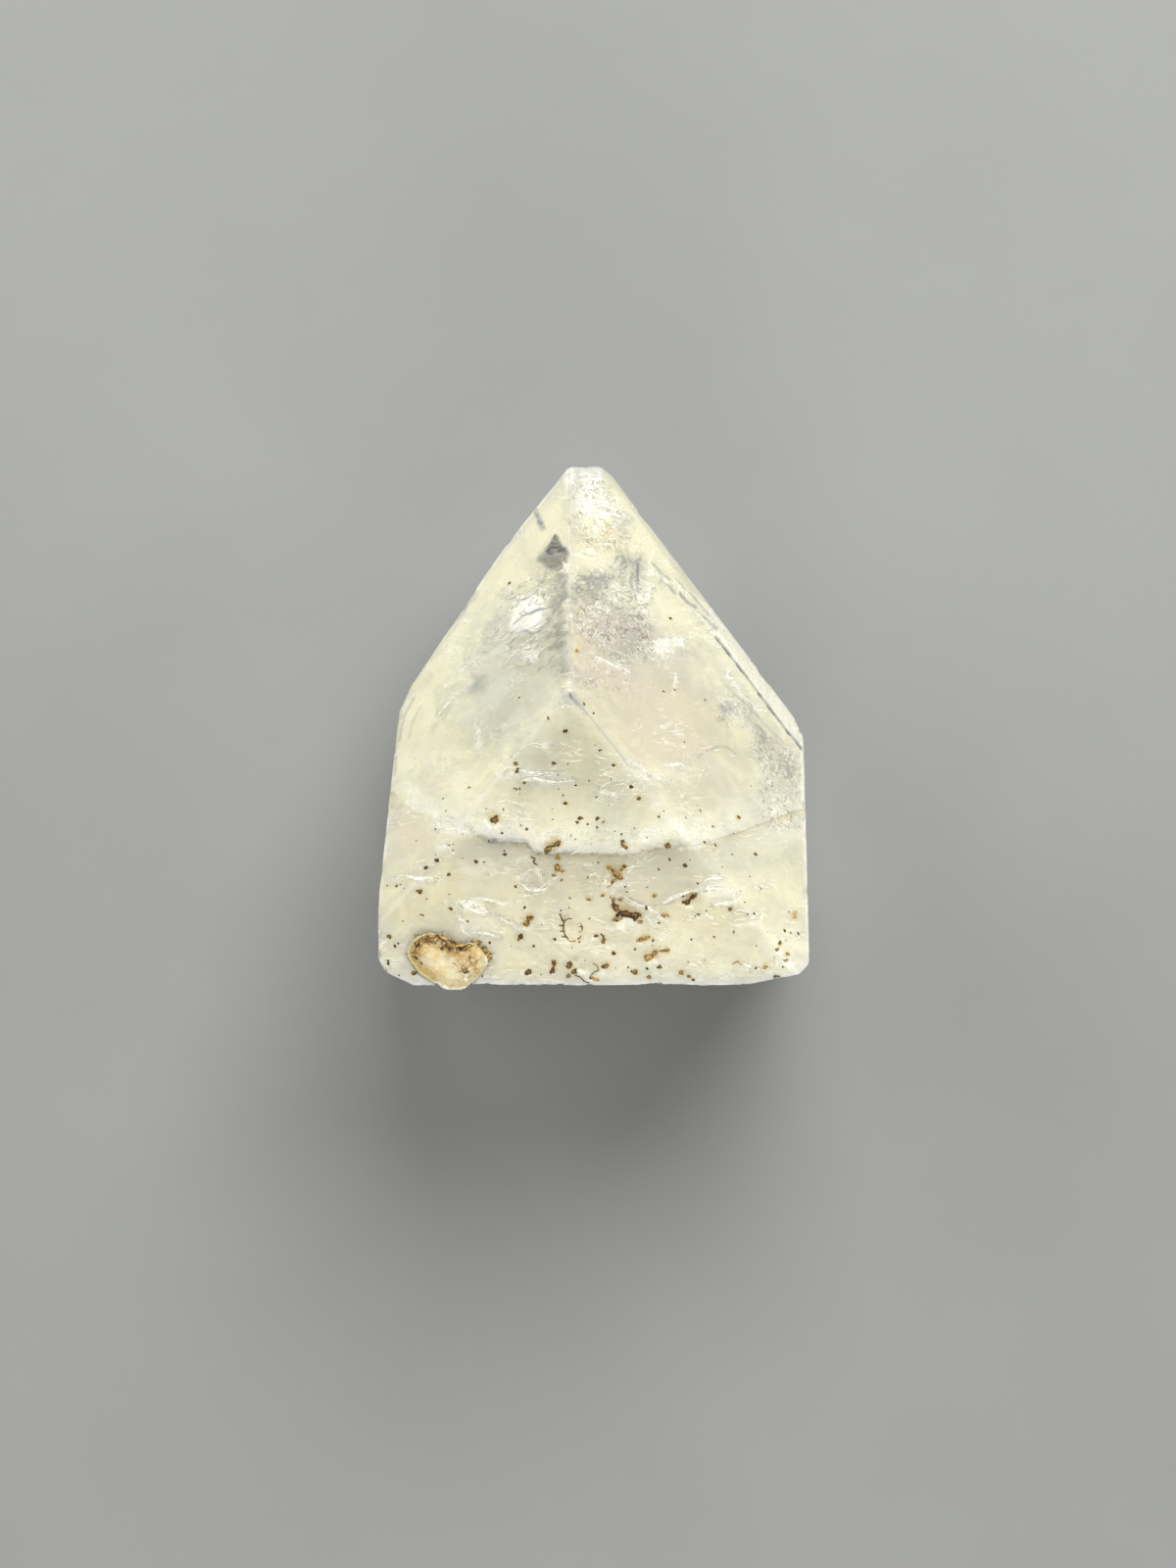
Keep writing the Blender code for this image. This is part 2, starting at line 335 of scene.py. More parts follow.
def fineMesh(node):
    bm = cadFaces(node)
    splitEdges(bm, node)
    bm.normal_update()
    fillEvenly(bm, node)
    bmesh.ops.triangulate(bm, faces=bm.faces)
    bmesh.ops.recalc_face_normals(bm, faces=bm.faces)
    bm.normal_update()
    return bm


def meshFrom(bm, name):
    mesh = bpy.data.meshes.new(name)
    bm.to_mesh(mesh)
    bm.free()
    return mesh


def closeTube(bm, rings):
    # faces between the rings of points and over both ends
    for first, second in zip(rings[:-1], rings[1:]):
        for k, point in enumerate(first):
            after = (k + 1) % len(first)
            bm.faces.new((point, first[after], second[after], second[k]))
    bm.faces.new(rings[0][::-1])
    bm.faces.new(rings[-1])


def movePoints(bm, normals, inward, aside):
    # each point goes in along its normal, then aside, both in mm
    for vert, normal, depth, way in zip(bm.verts, normals, inward, aside):
        vert.co -= Vector(normal) * (depth * mm)
        vert.co += Vector(way) * mm


def nearLine(spots, line):
    # how far each spot is from the line
    best = np.full(len(spots), 1e9)
    for start, end in zip(np.array(line[:-1], float), np.array(line[1:], float)):
        way = end - start
        along = np.clip((spots - start) @ way / max(way @ way, 1e-9), 0, 1)
        best = np.minimum(best, np.hypot(*(spots - start - along[:, None] * way).T))
    return best


def depthInside(spots, corners):
    # how far inside the outline each spot is, less than 0 outside
    inside = np.zeros(len(spots), bool)
    ring = list(corners) + [corners[0]]
    for (ax, ay), (bx, by) in zip(ring[:-1], ring[1:]):
        if ay != by:
            crossed = (spots[:, 1] > min(ay, by)) & (spots[:, 1] <= max(ay, by))
            inside ^= crossed & (spots[:, 0] < ax + (spots[:, 1] - ay) * (bx - ax) / (by - ay))
    return np.where(inside, 1, -1) * nearLine(spots, ring)


def smooth(values, low, high):
    share = np.clip((values - low) / (high - low), 0, 1)
    return share * share * (3 - 2 * share)


def noiseAt(points, size, seed=0, stretch=(1, 1, 1), detail=0):
    # -1 to 1, blobs about size mm apart
    spots = points * (np.array(stretch) / size) + np.array((seed * 7.3, seed * 3.1, seed * 5.7))
    if detail:
        return np.array([noise.fractal(Vector(p), 0.9, 2.1, detail) for p in spots])
    return np.array([noise.noise(Vector(p)) for p in spots])


crystalMarks = {
    # places are steps of the frame, as seen from above
    "patches": {  # strength, softness, corners
        "clear": [
            (0.7, 3, [(567, 546), (581, 565), (579, 573), (568, 582), (560, 580), (548, 572), (557, 560)]),
            (0.35, 12, [(566, 585), (578, 583), (578, 700), (572, 704), (562, 650), (560, 612)]),
            (0.35, 8, [(592, 586), (628, 584), (626, 600), (604, 616), (584, 612)]),
            (0.25, 10, [(634, 566), (656, 568), (658, 600), (646, 604), (632, 584)]),
            (0.22, 8, [(605, 622), (640, 617), (664, 640), (660, 668), (630, 674), (606, 655)]),
            (0.17, 20, [(580, 724), (630, 775), (640, 795), (600, 812), (530, 812), (515, 800)]),
            (0.14, 14, [(770, 738), (790, 742), (816, 786), (812, 820), (778, 800)]),
        ],
        # dark patches: in the windows by the point a painted reflection of the dark ground, beside the ridge
        # painted shade
        "dusk": [
            (1.0, 1.2, [(566, 545), (573, 556), (581, 562), (581, 567), (571, 563), (561, 566), (555, 563)]),
            (0.6, 2.0, [(544, 518), (548, 520), (552, 528), (556, 540), (552, 542), (548, 532)]),
            (0.40, 3, [(556, 561), (580, 566), (578, 573), (569, 581), (560, 580), (551, 574), (547, 570)]),
            (0.46, 4, [(571, 587), (579, 584), (578, 612), (569, 616)]),
            (0.34, 5, [(573, 640), (578, 640), (577, 694), (569, 690)]),
            (0.20, 10, [(562, 596), (578, 590), (578, 692), (564, 690)]),
            (0.42, 4, [(596, 590), (612, 584), (627, 588), (620, 596), (604, 597)]),
            (0.20, 8, [(583, 598), (610, 600), (606, 614), (582, 612)]),
            (0.08, 10, [(607, 624), (640, 617), (664, 642), (658, 668), (630, 672), (608, 652)]),
            (0.20, 7, [(630, 566), (656, 566), (655, 584), (646, 578), (634, 580)]),
            (0.16, 6, [(648, 575), (656, 575), (655, 602), (649, 600)]),
            (0.25, 6, [(480, 690), (494, 690), (495, 706), (484, 706)]),
            (0.26, 5, [(571, 704), (585, 704), (596, 722), (580, 718), (566, 722)]),
            (0.30, 4, [(732, 717), (750, 715), (752, 724), (738, 730)]),
            (0.14, 3, [(770, 742), (780, 744), (786, 754), (776, 756)]),
            (0.12, 4, [(800, 776), (812, 786), (810, 796), (800, 792)]),
        ],
        "cool": [
            (0.85, 24, [(500, 625), (578, 596), (579, 705), (510, 770), (462, 745), (468, 690)]),
            (0.30, 22, [(765, 720), (822, 780), (822, 835), (770, 830), (745, 780)]),
            (0.25, 18, [(405, 740), (470, 745), (480, 830), (425, 835), (402, 800)]),
            (0.35, 16, [(600, 800), (720, 800), (720, 850), (610, 862)]),
            (0.40, 16, [(724, 650), (760, 690), (780, 730), (750, 720), (716, 668)]),
            (0.55, 18, [(724, 796), (818, 800), (816, 900), (740, 896)]),
        ],
        "warm": [
            # the right slope of the point: its warmer tone, and painted shade that darkens it
            (1.0, 22, [(590, 610), (700, 660), (748, 720), (730, 800), (650, 780), (585, 700)]),
            (0.50, 26, [(660, 730), (760, 760), (770, 830), (690, 840)]),
            (0.80, 8, [(396, 816), (418, 822), (430, 836), (446, 850), (440, 872), (396, 880)]),
            (0.12, 26, [(396, 930), (822, 930), (822, 1010), (396, 1010)]),
        ],
        "plum": [
            (0.80, 9, [
                (606, 630), (622, 618), (640, 628), (650, 622), (672, 646),
                (660, 656), (662, 668), (640, 672), (632, 662), (612, 660),
            ]),
            (0.42, 12, [(583, 612), (606, 612), (612, 650), (645, 676), (650, 706), (590, 706), (581, 690)]),
            (0.25, 10, [(600, 605), (650, 605), (650, 640), (604, 640)]),
            (0.45, 2, [(583, 498), (588, 498), (585, 530), (583, 568), (578, 568), (580, 530)]),
        ],
        "white": [
            # painted light that brightens the right bevel
            (0.60, 3, [
                (708, 606), (734, 620), (790, 692), (808, 712),
                (824, 747), (818, 762), (784, 719), (745, 667),
            ]),
            (0.62, 12, [(590, 484), (606, 478), (618, 500), (632, 520), (620, 545), (596, 540), (588, 510)]),
            (0.22, 20, [(392, 950), (828, 950), (828, 1030), (392, 1030)]),
            (0.85, 4, [(519, 640), (521, 622), (540, 604), (555, 610), (553, 630), (546, 645), (528, 646)]),
            (0.6, 5, [(530, 661), (545, 657), (547, 670), (534, 675)]),
            (0.8, 4, [(662, 664), (668, 655), (688, 649), (700, 654), (690, 662), (676, 667)]),
            (1.0, 3, [(466, 919), (480, 918), (498, 925), (498, 932), (478, 930), (468, 926)]),
            (0.4, 8, [(716, 897), (740, 894), (756, 908), (734, 922), (704, 912)]),
            (0.4, 5, [(650, 596), (664, 598), (664, 612), (652, 612)]),
            (0.3, 6, [(500, 780), (560, 784), (590, 794), (560, 802), (510, 796)]),
            (0.3, 7, [(640, 776), (700, 790), (705, 800), (660, 796)]),
            (0.3, 6, [(440, 836), (500, 842), (545, 860), (500, 856), (450, 850)]),
            (0.3, 7, [(466, 934), (505, 930), (520, 950), (500, 962), (474, 956)]),
            (0.25, 6, [(410, 896), (440, 890), (450, 900), (430, 906)]),
            (0.25, 7, [(468, 880), (500, 876), (505, 890), (478, 894)]),
            (0.3, 5, [(596, 852), (640, 848), (652, 856), (610, 862)]),
            (0.35, 5, [(788, 820), (802, 816), (806, 840), (796, 852), (788, 842)]),
            (0.5, 5, [(486, 734), (494, 745), (490, 765), (483, 760)]),
            (0.25, 14, [(404, 768), (470, 768), (492, 828), (446, 838), (408, 812)]),
        ],
        "crumble": [
            (0.9, 8, [(588, 490), (616, 486), (640, 530), (640, 560), (600, 562), (586, 540)]),
            (1.0, 6, [
                (584, 580), (628, 576), (656, 566), (668, 600),
                (664, 640), (668, 676), (630, 682), (586, 640),
            ]),
            (0.7, 8, [(548, 570), (560, 560), (580, 580), (578, 690), (560, 690), (545, 600)]),
            (0.9, 8, [(512, 600), (556, 592), (562, 640), (552, 680), (512, 680)]),
            (0.45, 10, [(582, 660), (640, 680), (650, 710), (600, 712), (582, 700)]),
            (0.5, 8, [(545, 600), (505, 660), (480, 690), (470, 680), (520, 600)]),
            (0.7, 6, [(655, 650), (700, 645), (705, 668), (660, 672)]),
            (0.9, 8, [(725, 705), (760, 708), (775, 745), (735, 740)]),
            (1.0, 8, [(764, 736), (818, 770), (820, 845), (780, 845)]),
            (0.5, 5, [(662, 566), (735, 640), (725, 650), (658, 582)]),
            (0.5, 8, [(530, 880), (560, 876), (565, 910), (530, 908)]),
        ],
        "streak": [
            (1.0, 6, [(582, 590), (604, 584), (620, 590), (616, 606), (600, 618), (582, 622)]),
            (1.0, 10, [(515, 598), (579, 582), (579, 700), (548, 712), (505, 690), (505, 620)]),
        ],
        "stain": [
            (0.5, 5, [(606, 536), (622, 532), (628, 546), (612, 550)]),
            (0.3, 6, [(587, 530), (606, 526), (640, 545), (636, 566), (590, 560)]),
            (0.5, 4, [(790, 824), (808, 826), (806, 842), (792, 842)]),
            (0.10, 26, [(390, 890), (830, 890), (830, 1030), (390, 1030)]),
            (0.12, 5, [
                (708, 610), (734, 622), (792, 700), (808, 717),
                (822, 747), (818, 760), (784, 719), (745, 667),
            ]),
        ],
    },
    # on the sides and the root, seed, size in mm, where it starts and is full, and strength
    "elsewhere": {
        "crumble": (31, 5.0, 0.05, 0.40, 0.7),
        "white": (32, 3.5, 0.12, 0.45, 0.6),
        "cool": (33, 9.0, -0.10, 0.40, 0.5),
        "warm": (34, 8.0, 0.0, 0.45, 0.6),
        "clear": (35, 7.0, 0.05, 0.35, 0.35),
        "dusk": (36, 4.5, 0.25, 0.55, 0.10),
        "stain": (37, 2.2, 0.30, 0.60, 0.35),
    },
    "cracks": [  # thin dark lines: strength, width, line
        (0.6, 1.8, [(523, 636), (532, 628), (542, 624), (551, 620)]),
        (0.5, 1.6, [(526, 646), (534, 642), (542, 646), (550, 643)]),
        (0.5, 2.2, [(652, 574), (651, 584), (652, 591)]),
        (0.35, 1.8, [(650, 595), (652, 603)]),
        (0.4, 1.6, [(646, 587), (644, 595), (647, 602)]),
        (0.4, 1.6, [(628, 573), (630, 568), (636, 567), (638, 573), (633, 576)]),
        (0.30, 1.6, [(642, 570), (647, 575), (654, 569)]),
        (0.30, 1.6, [(624, 579), (631, 582), (638, 580)]),
        (0.24, 2.2, [(584, 711), (592, 720), (602, 732), (612, 745)]),
        (0.20, 2.0, [(612, 745), (629, 765), (642, 781)]),
        (0.18, 1.8, [(739, 698), (760, 716), (780, 738), (800, 757)]),
        (0.35, 1.6, [(416, 706), (410, 716), (405, 728)]),
        (0.25, 1.6, [(422, 712), (414, 726), (409, 742), (407, 756)]),
        (0.20, 1.6, [(429, 720), (421, 736), (417, 752)]),
        (0.22, 1.6, [(401, 760), (404, 775), (402, 790)]),
        (0.30, 1.6, [(758, 706), (764, 712), (768, 722), (766, 730)]),
        (0.30, 1.6, [(770, 738), (776, 742), (782, 750), (780, 758)]),
        (0.25, 1.6, [(796, 772), (804, 778), (806, 788)]),
        (0.35, 2.0, [(667, 575), (674, 583), (684, 591)]),
        (0.30, 2.0, [(673, 585), (679, 596)]),
        (0.35, 2.0, [(682, 596), (690, 606)]),
        (0.45, 2.2, [(694, 606), (702, 614), (710, 619)]),
        (0.45, 2.2, [(719, 629), (724, 635), (732, 641)]),
        (0.25, 1.8, [(690, 590), (704, 604), (716, 618), (724, 628)]),
        (0.3, 1.6, [(764, 721), (774, 731)]),
        (0.25, 1.6, [(713, 772), (720, 767), (732, 762), (742, 762), (749, 767), (753, 772)]),
    ],
    "ridge": [(586, 480), (583, 514), (581, 549), (580, 571), (579, 603), (578, 639), (577, 674), (578, 706)],
    # strength of the painted highlight along the ridge
    "ridge painted highlight": 0.18,
    "rim": [(586, 460), (838, 740), (838, 1010), (380, 1010), (380, 700)],  # of all that is seen from above
    "rim fade": (16, 26),  # from here to here inside it the edges get less and less wear whitening and painted rim light
    "bevel groove": [(731, 650), (745, 667), (764, 692), (784, 719), (803, 744), (819, 763)],
    "groove": (0.13, 2.1),  # depth in mm and width in steps
    "ledge cut": [  # where the growth step was cut
        (390, 808), (415, 812), (426, 826), (440, 829), (457, 846), (480, 842), (505, 854), (545, 864),
        (560, 868), (656, 869), (669, 865), (712, 864), (721, 860), (747, 850), (774, 843), (801, 831),
        (830, 823),
    ],
    "ledge": [  # and where it ends up: its left part is taken a little forward
        (390, 808), (403, 813), (414, 818), (420, 827), (440, 832), (448, 850), (480, 853), (505, 858),
        (539, 859), (544, 868), (560, 869), (656, 869), (669, 865), (712, 864), (721, 860), (747, 850),
        (774, 843), (801, 831), (830, 823),
    ],
    "ledge ease": (7, 11),  # how far from it the step is eased, in steps, and how many times
    "ledge end": (478, 30, 90),  # left of here it is eased this far and this many times
    "left side": 403,  # the ledge is eased only downwards left of here
    "ledge forward": (3, 45),  # from here to here off the ledge its points go less and less forward
    # creases between the front faces and the pyramid, above the ledge and then below it
    "left creases": [[(578, 708), (476, 834)], [(473, 844), (385, 947)]],
    "right creases": [[(584, 710), (650, 787), (700, 866)], [(706, 872), (790, 981)]],
    "crease ease": (18, 60),
    "unworn": (12, 14),  # nearer than this to the ledge and the creases no edge is worn or gets painted rim light
    # from where to where the places below fade: away from the ledge and the creases, and across and down
    "creases fade": (-14, -2),
    "under ledge fade": (12, 80),
    "over ledge fade": (8, 50),
    "ledge wall fade": (-4, -2),
    "to right": (690, 780),
    "front face slope": (0.80, 0.93),  # upward share of its normal
    "front face end": (770, 850),
    # how much painted light or shade each place gets, in each colour
    "painted light": {
        # painted shade on the front face, darker and cooler
        "front face": {"cool": 0.62},
        # painted shade along the creases and the ridge, against the highlight of their rounding
        "creases": {"cool": 0.60, "warm": 0.30},
        # painted shadow below the growth step
        "under ledge": {"cool": 0.55, "warm": 0.40},
        # painted light just above the step
        "over ledge": {"white": 0.50},
        # painted light on the shaded wall of the step
        "ledge wall": {"white": 0.65},
    },
    "by feathers": {"white": (0.22, 5, 0), "crumble": (0.5, 7, 1)},  # strength, from here to here off them
    "broken": {"dusk": 0.45, "plum": 0.45, "stain": 0.45},  # how far crumbs break these up
    "pit stain": 0.55,
    "seat stain": 0.40,
}

# thin white cleavage feathers: breadth of the opening, depth and lean, all in mm, and the line in steps
feathers = {
    "lines": [
        (0.16, 0.7, 0.3, [(470, 932), (470, 941), (473, 950), (480, 956)]),
        (0.14, 0.6, 0.2, [(483, 952), (497, 953), (510, 957)]),
        (0.14, 0.6, 0.2, [(402, 897), (415, 894), (430, 897), (446, 894)]),
        (0.12, 0.6, 0.3, [(652, 590), (660, 594), (664, 602), (661, 610), (653, 611), (649, 604)]),
        (0.10, 0.5, 0.3, [(602, 667), (616, 674), (630, 680), (642, 686)]),
        (0.16, 1.4, 0.5, [(603, 667), (616, 674), (632, 680), (644, 687)]),
        (0.12, 0.8, 0.0, [(689, 686), (689, 704)]),
        (0.14, 0.8, 0.4, [(747, 682), (743, 687), (740, 692)]),
        (0.12, 1.0, 0.3, [(466, 707), (453, 723), (442, 736)]),
        (0.12, 1.2, 0.5, [(533, 762), (545, 759), (560, 761)]),
        (0.14, 1.6, 0.6, [(516, 791), (530, 787), (548, 790), (564, 788)]),
        (0.14, 1.6, 0.6, [(528, 797), (545, 795), (566, 798), (586, 796)]),
        (0.16, 1.4, 0.6, [(655, 789), (668, 791), (678, 796), (689, 799)]),
        (0.12, 1.2, 0.6, [(612, 808), (622, 810), (632, 815)]),
        (0.12, 1.0, 0.6, [(640, 778), (652, 782), (664, 790)]),
        (0.12, 1.0, 0.6, [(680, 782), (694, 780), (704, 784)]),
        (0.14, 0.9, 0.6, [(694, 824), (701, 828), (708, 830)]),
        (0.14, 0.8, 0.0, [(791, 824), (791, 835)]),
        (0.14, 1.0, 0.5, [(449, 861), (457, 865), (464, 872)]),
        (0.16, 1.2, 0.5, [(412, 894), (425, 896), (436, 895), (446, 899)]),
        (0.20, 1.6, 0.8, [(467, 919), (478, 925), (488, 931), (497, 931)]),
        (0.14, 1.0, 0.5, [(480, 916), (496, 918), (510, 922), (522, 921)]),
        (0.14, 1.2, 0.5, [(507, 935), (518, 940), (530, 948)]),
        (0.12, 0.8, 0.4, [(470, 936), (473, 943), (475, 950)]),
        (0.16, 1.2, 0.4, [(528, 892), (531, 901), (538, 907), (550, 908), (558, 906), (561, 901)]),
        (0.10, 0.8, 0.4, [(548, 886), (551, 894), (554, 899)]),
        (0.16, 1.4, 0.7, [
            (671, 926), (684, 918), (696, 913), (712, 908), (730, 906), (746, 908), (754, 914),
        ]),
        (0.14, 1.2, 0.7, [(726, 925), (738, 922), (750, 921), (757, 917)]),
        (0.18, 1.2, 0.7, [(716, 901), (725, 896), (738, 895)]),
        (0.12, 1.0, 0.5, [(658, 935), (665, 940), (674, 945)]),
        (0.14, 1.2, 0.6, [(626, 911), (640, 917), (652, 924), (666, 928), (680, 940)]),
        (0.12, 0.9, 0.5, [(700, 938), (716, 934), (728, 936)]),
        (0.12, 0.9, 0.5, [(772, 907), (776, 905), (781, 905)]),
        (0.14, 0.9, 0.5, [(755, 981), (764, 986), (776, 990)]),
        (0.12, 0.7, 0.2, [(654, 604), (658, 601), (663, 604), (663, 609), (659, 612), (655, 609)]),
        (0.16, 0.7, 0.3, [(522, 618), (532, 611), (545, 607)]),
        (0.16, 0.7, 0.3, [(521, 628), (533, 620), (548, 613)]),
        (0.16, 0.7, 0.3, [(524, 641), (534, 636), (546, 632)]),
        (0.14, 0.7, 0.3, [(530, 668), (540, 664), (549, 660)]),
        (0.14, 0.7, 0.3, [(665, 662), (674, 657), (686, 652), (698, 650)]),
        (0.12, 0.7, 0.2, [(574, 572), (577, 578), (574, 583)]),
        (0.12, 0.7, 0.2, [(594, 556), (600, 562), (604, 570)]),
        (0.12, 0.8, 0.3, [(484, 738), (488, 748), (486, 762)]),
        (0.12, 0.7, 0.3, [(664, 578), (674, 588), (682, 596)]),
        (0.12, 0.7, 0.3, [(684, 588), (696, 600), (708, 612)]),
        (0.12, 0.7, 0.3, [(706, 622), (718, 632), (728, 644)]),
        (0.10, 0.7, 0.3, [(742, 690), (756, 706), (772, 722)]),
        (0.12, 0.8, 0.5, [(440, 840), (452, 836), (470, 842)]),
        (0.12, 0.8, 0.5, [(446, 850), (462, 846), (480, 850)]),
    ],
    # every line is a bundle: strands, how far apart in steps, and their share of its length and breadth
    "strands": (4, 8),
    "strand apart": 2.6,
    "strand length": (0.2, 0.6),
    "strand breadth": (0.35, 0.8),
    "wander rows": (0.3, 7.6, 15.2),  # one row of the noise for each direction
    "proud": 0.012,  # mm
    "section": ((0, 0.7), (0.12, 1.0), (0.5, 0.55)),  # share of the depth, share of the breadth
    # more bundles: strands in each, spread and length in steps, breadth and depth in mm, turn in degrees
    "small": 34,
    "small rows": ((520, 720), (740, 1000), (780, 960)),
    "small area": (606, 210, 0.95, 740),  # middle, half width, and how fast it narrows above this level
    "clear of border": 15,
    "small strands": (2, 8),
    "small spread": (10, 5),
    "small length": (4, 15),
    "small breadth": (0.05, 0.12),
    "small depth": (0.3, 0.9),
    "small turn": 16,
    "hidden": 120,  # on the sides
    "hidden length": (0.8, 5.0),  # mm
    "white": (0.99, 0.98, 0.92),
    "cream": (0.94, 0.93, 0.82),
    "seed": 41,
}

crystalRelief = {
    # how far each kind of relief goes in, mm, and how far apart it is, mm
    "swell": (0.050, 7.0),
    "ripple": (0.014, 1.9),
    "grain": (0.006, 0.55),
    "striae": (0.020, 0.9),
    "edge wear": (0.05, 0.35),
    "edge chips": (0.26, 1.7),
    "terraces": (0.55, 8.0, 7),  # of the cleaved root: depth, size and how many levels
    "riser": 0.12,  # share of a terrace that its edge takes up
    "riser glow": (0.5, 0.30),  # white there: strength, and the share of a terrace where it ends
    "riser crumble": (0.6, 0.40),
    "hackle": (0.06, 1.1),
    "crumble": (0.09, 0.7),
    "burst": (0.10, 1.4),  # where it is crumbled and white
    "crack": 0.05,
    "pit": 0.10,
    "unworn": 9.0,  # stands for a place far from any edge
}


def sharpEdgeDistance(points):
    # how far each point, in mm, is from the edges between the crystal's flat faces
    bm = cadFaces("crystal")
    along = []
    for edge in bm.edges:
        if len(edge.link_faces) == 2 and edge.calc_face_angle() > crystalMesh["sharp"]:
            a, b = edge.verts[0].co / mm, edge.verts[1].co / mm
            count = max(1, int((b - a).length / 0.1))
            along += [a.lerp(b, i / count) for i in range(count + 1)]
    bm.free()
    tree = kdtree.KDTree(len(along))
    for i, spot in enumerate(along):
        tree.insert(spot, i)
    tree.balance()
    return np.array([tree.find(p)[2] for p in points])


def ledgeDrop(spots, line="ledge"):
    # how far each spot is below the ledge line, in steps
    line = np.array(crystalMarks[line], float)
    return spots[:, 1] - np.interp(spots[:, 0], line[:, 0], line[:, 1])


def creaseDistance(spots):
    # how far, in steps, from the soft creases beside the front face
    creases = crystalMarks["left creases"] + crystalMarks["right creases"]
    return np.min([nearLine(spots, line) for line in creases], axis=0)


def raiseTo(masks, name, values):
    # marks never weaken one another: the stronger one stays
    masks[name] = np.maximum(masks[name], values)


def atPit(spots, pit, outer, inner):
    # 1 in the pit and 0 out of it: it fades between these two, in radii
    (across, down), radius = pit
    near = np.hypot(spots[:, 0] - across, spots[:, 1] - down) / radius
    return smooth(-near, -outer, -inner)


def paintedLightPlaces(spots, normals):
    # 0 to 1 for each point: how far it is in each place that gets painted light or shade
    below = ledgeDrop(spots)
    x, y = spots.T
    near = np.minimum(creaseDistance(spots), nearLine(spots, crystalMarks["ridge"]))
    fading = 1 - 0.7 * smooth(x, *crystalMarks["to right"])
    under = smooth(below, -1.5, 2) * (1 - smooth(below, *crystalMarks["under ledge fade"]))
    over = smooth(-below, -1.5, 2) * (1 - smooth(-below, *crystalMarks["over ledge fade"]))
    front = smooth(normals[:, 2], *crystalMarks["front face slope"]) * (below < 0)
    return {
        "front face": front * (1 - smooth(y, *crystalMarks["front face end"])),
        "creases": smooth(-near, *crystalMarks["creases fade"]),
        "under ledge": under * smooth(x, 436, 470) * fading,
        "over ledge": over * smooth(x, 398, 420) * fading,
        "ledge wall": smooth(-abs(below), *crystalMarks["ledge wall fade"]) * smooth(x, 476, 500) * fading,
    }


def markMasks(points, normals):
    # 0 to 1 for each point: what the skin of the crystal carries there, painted light and shade among it
    spots = seenFrom(points)
    upper = smooth(normals[:, 2], -0.05, 0.12) * (points[:, 2] > 3)
    wander = noiseAt(points, 0.9, 3) * 0.7 + noiseAt(points, 0.35, 4) * 0.4
    crumbs = smooth(noiseAt(points, 0.5, 9, detail=3), -0.35, 0.30)
    masks = {name: np.zeros(len(points)) for name in (*crystalMarks["patches"], "crack")}
    for name, patches in crystalMarks["patches"].items():
        whole = 1 - crystalMarks["broken"].get(name, 0.0) * (1 - crumbs)
        for strength, soft, corners in patches:
            share = smooth(depthInside(spots, corners) + wander * soft, -soft, soft) * strength
            raiseTo(masks, name, share * whole)
    for strength, width, line in crystalMarks["cracks"]:
        away = nearLine(spots, line) + wander * width * 0.7
        raiseTo(masks, "crack", smooth(-away, -width, -width * 0.25) * strength)
    for breadth, depth, lean, line in feathers["lines"]:
        away = nearLine(spots, line) + wander * 1.5
        for name, (strength, outer, inner) in crystalMarks["by feathers"].items():
            raiseTo(masks, name, smooth(-away, -outer, -inner) * strength)
    width = crystalMarks["groove"][1]
    masks["groove"] = smooth(-nearLine(spots, crystalMarks["bevel groove"]), -width, -width * 0.3)
    masks["groove"] *= 0.45 + 0.55 * smooth(noiseAt(points, 0.9, 21, detail=2), -0.25, 0.1)
    # painted shade in the bevel groove: it is drawn dark like the cracks
    raiseTo(masks, "crack", masks["groove"] * 0.9)
    # painted light and shade round the ledge, the creases, the ridge and the front face
    for place, share in paintedLightPlaces(spots, normals).items():
        for name, strength in crystalMarks["painted light"][place].items():
            raiseTo(masks, name, strength * share)
    masks["crease"] = smooth(-creaseDistance(spots), -10, -2)
    masks = {name: mask * upper for name, mask in masks.items()}
    for name, (seed, size, low, high, most) in crystalMarks["elsewhere"].items():
        share = smooth(noiseAt(points, size, seed, detail=2), low, high)
        masks[name] += share * most * (1 - upper) * (points[:, 2] > 0.6)
    return masks


def edgeWearAndRimLight(points, away):
    # worn and crushed edges, whiter than the faces, with painted rim light: the inner edges of the faces seen
    # from above are left out, so it lies along the outline; and a painted highlight along the ridge
    spots = seenFrom(points)
    worn = smooth(-away, -0.55, -0.05) * (0.55 + 0.45 * noiseAt(points, 1.3, 14))
    inside = smooth(depthInside(spots, crystalMarks["rim"]), *crystalMarks["rim fade"])
    ridge = smooth(-nearLine(spots, crystalMarks["ridge"]), -2.2, -0.6)
    upper = smooth(points[:, 2], 14, 20)
    return worn * (1 - inside * upper) + ridge * upper * crystalMarks["ridge painted highlight"]


def lumps(points, kind, seed, **more):
    # how far in this kind of relief goes at each point, mm
    depth, size = crystalRelief[kind]
    return depth * (0.5 + 0.5 * noiseAt(points, size, seed, **more))


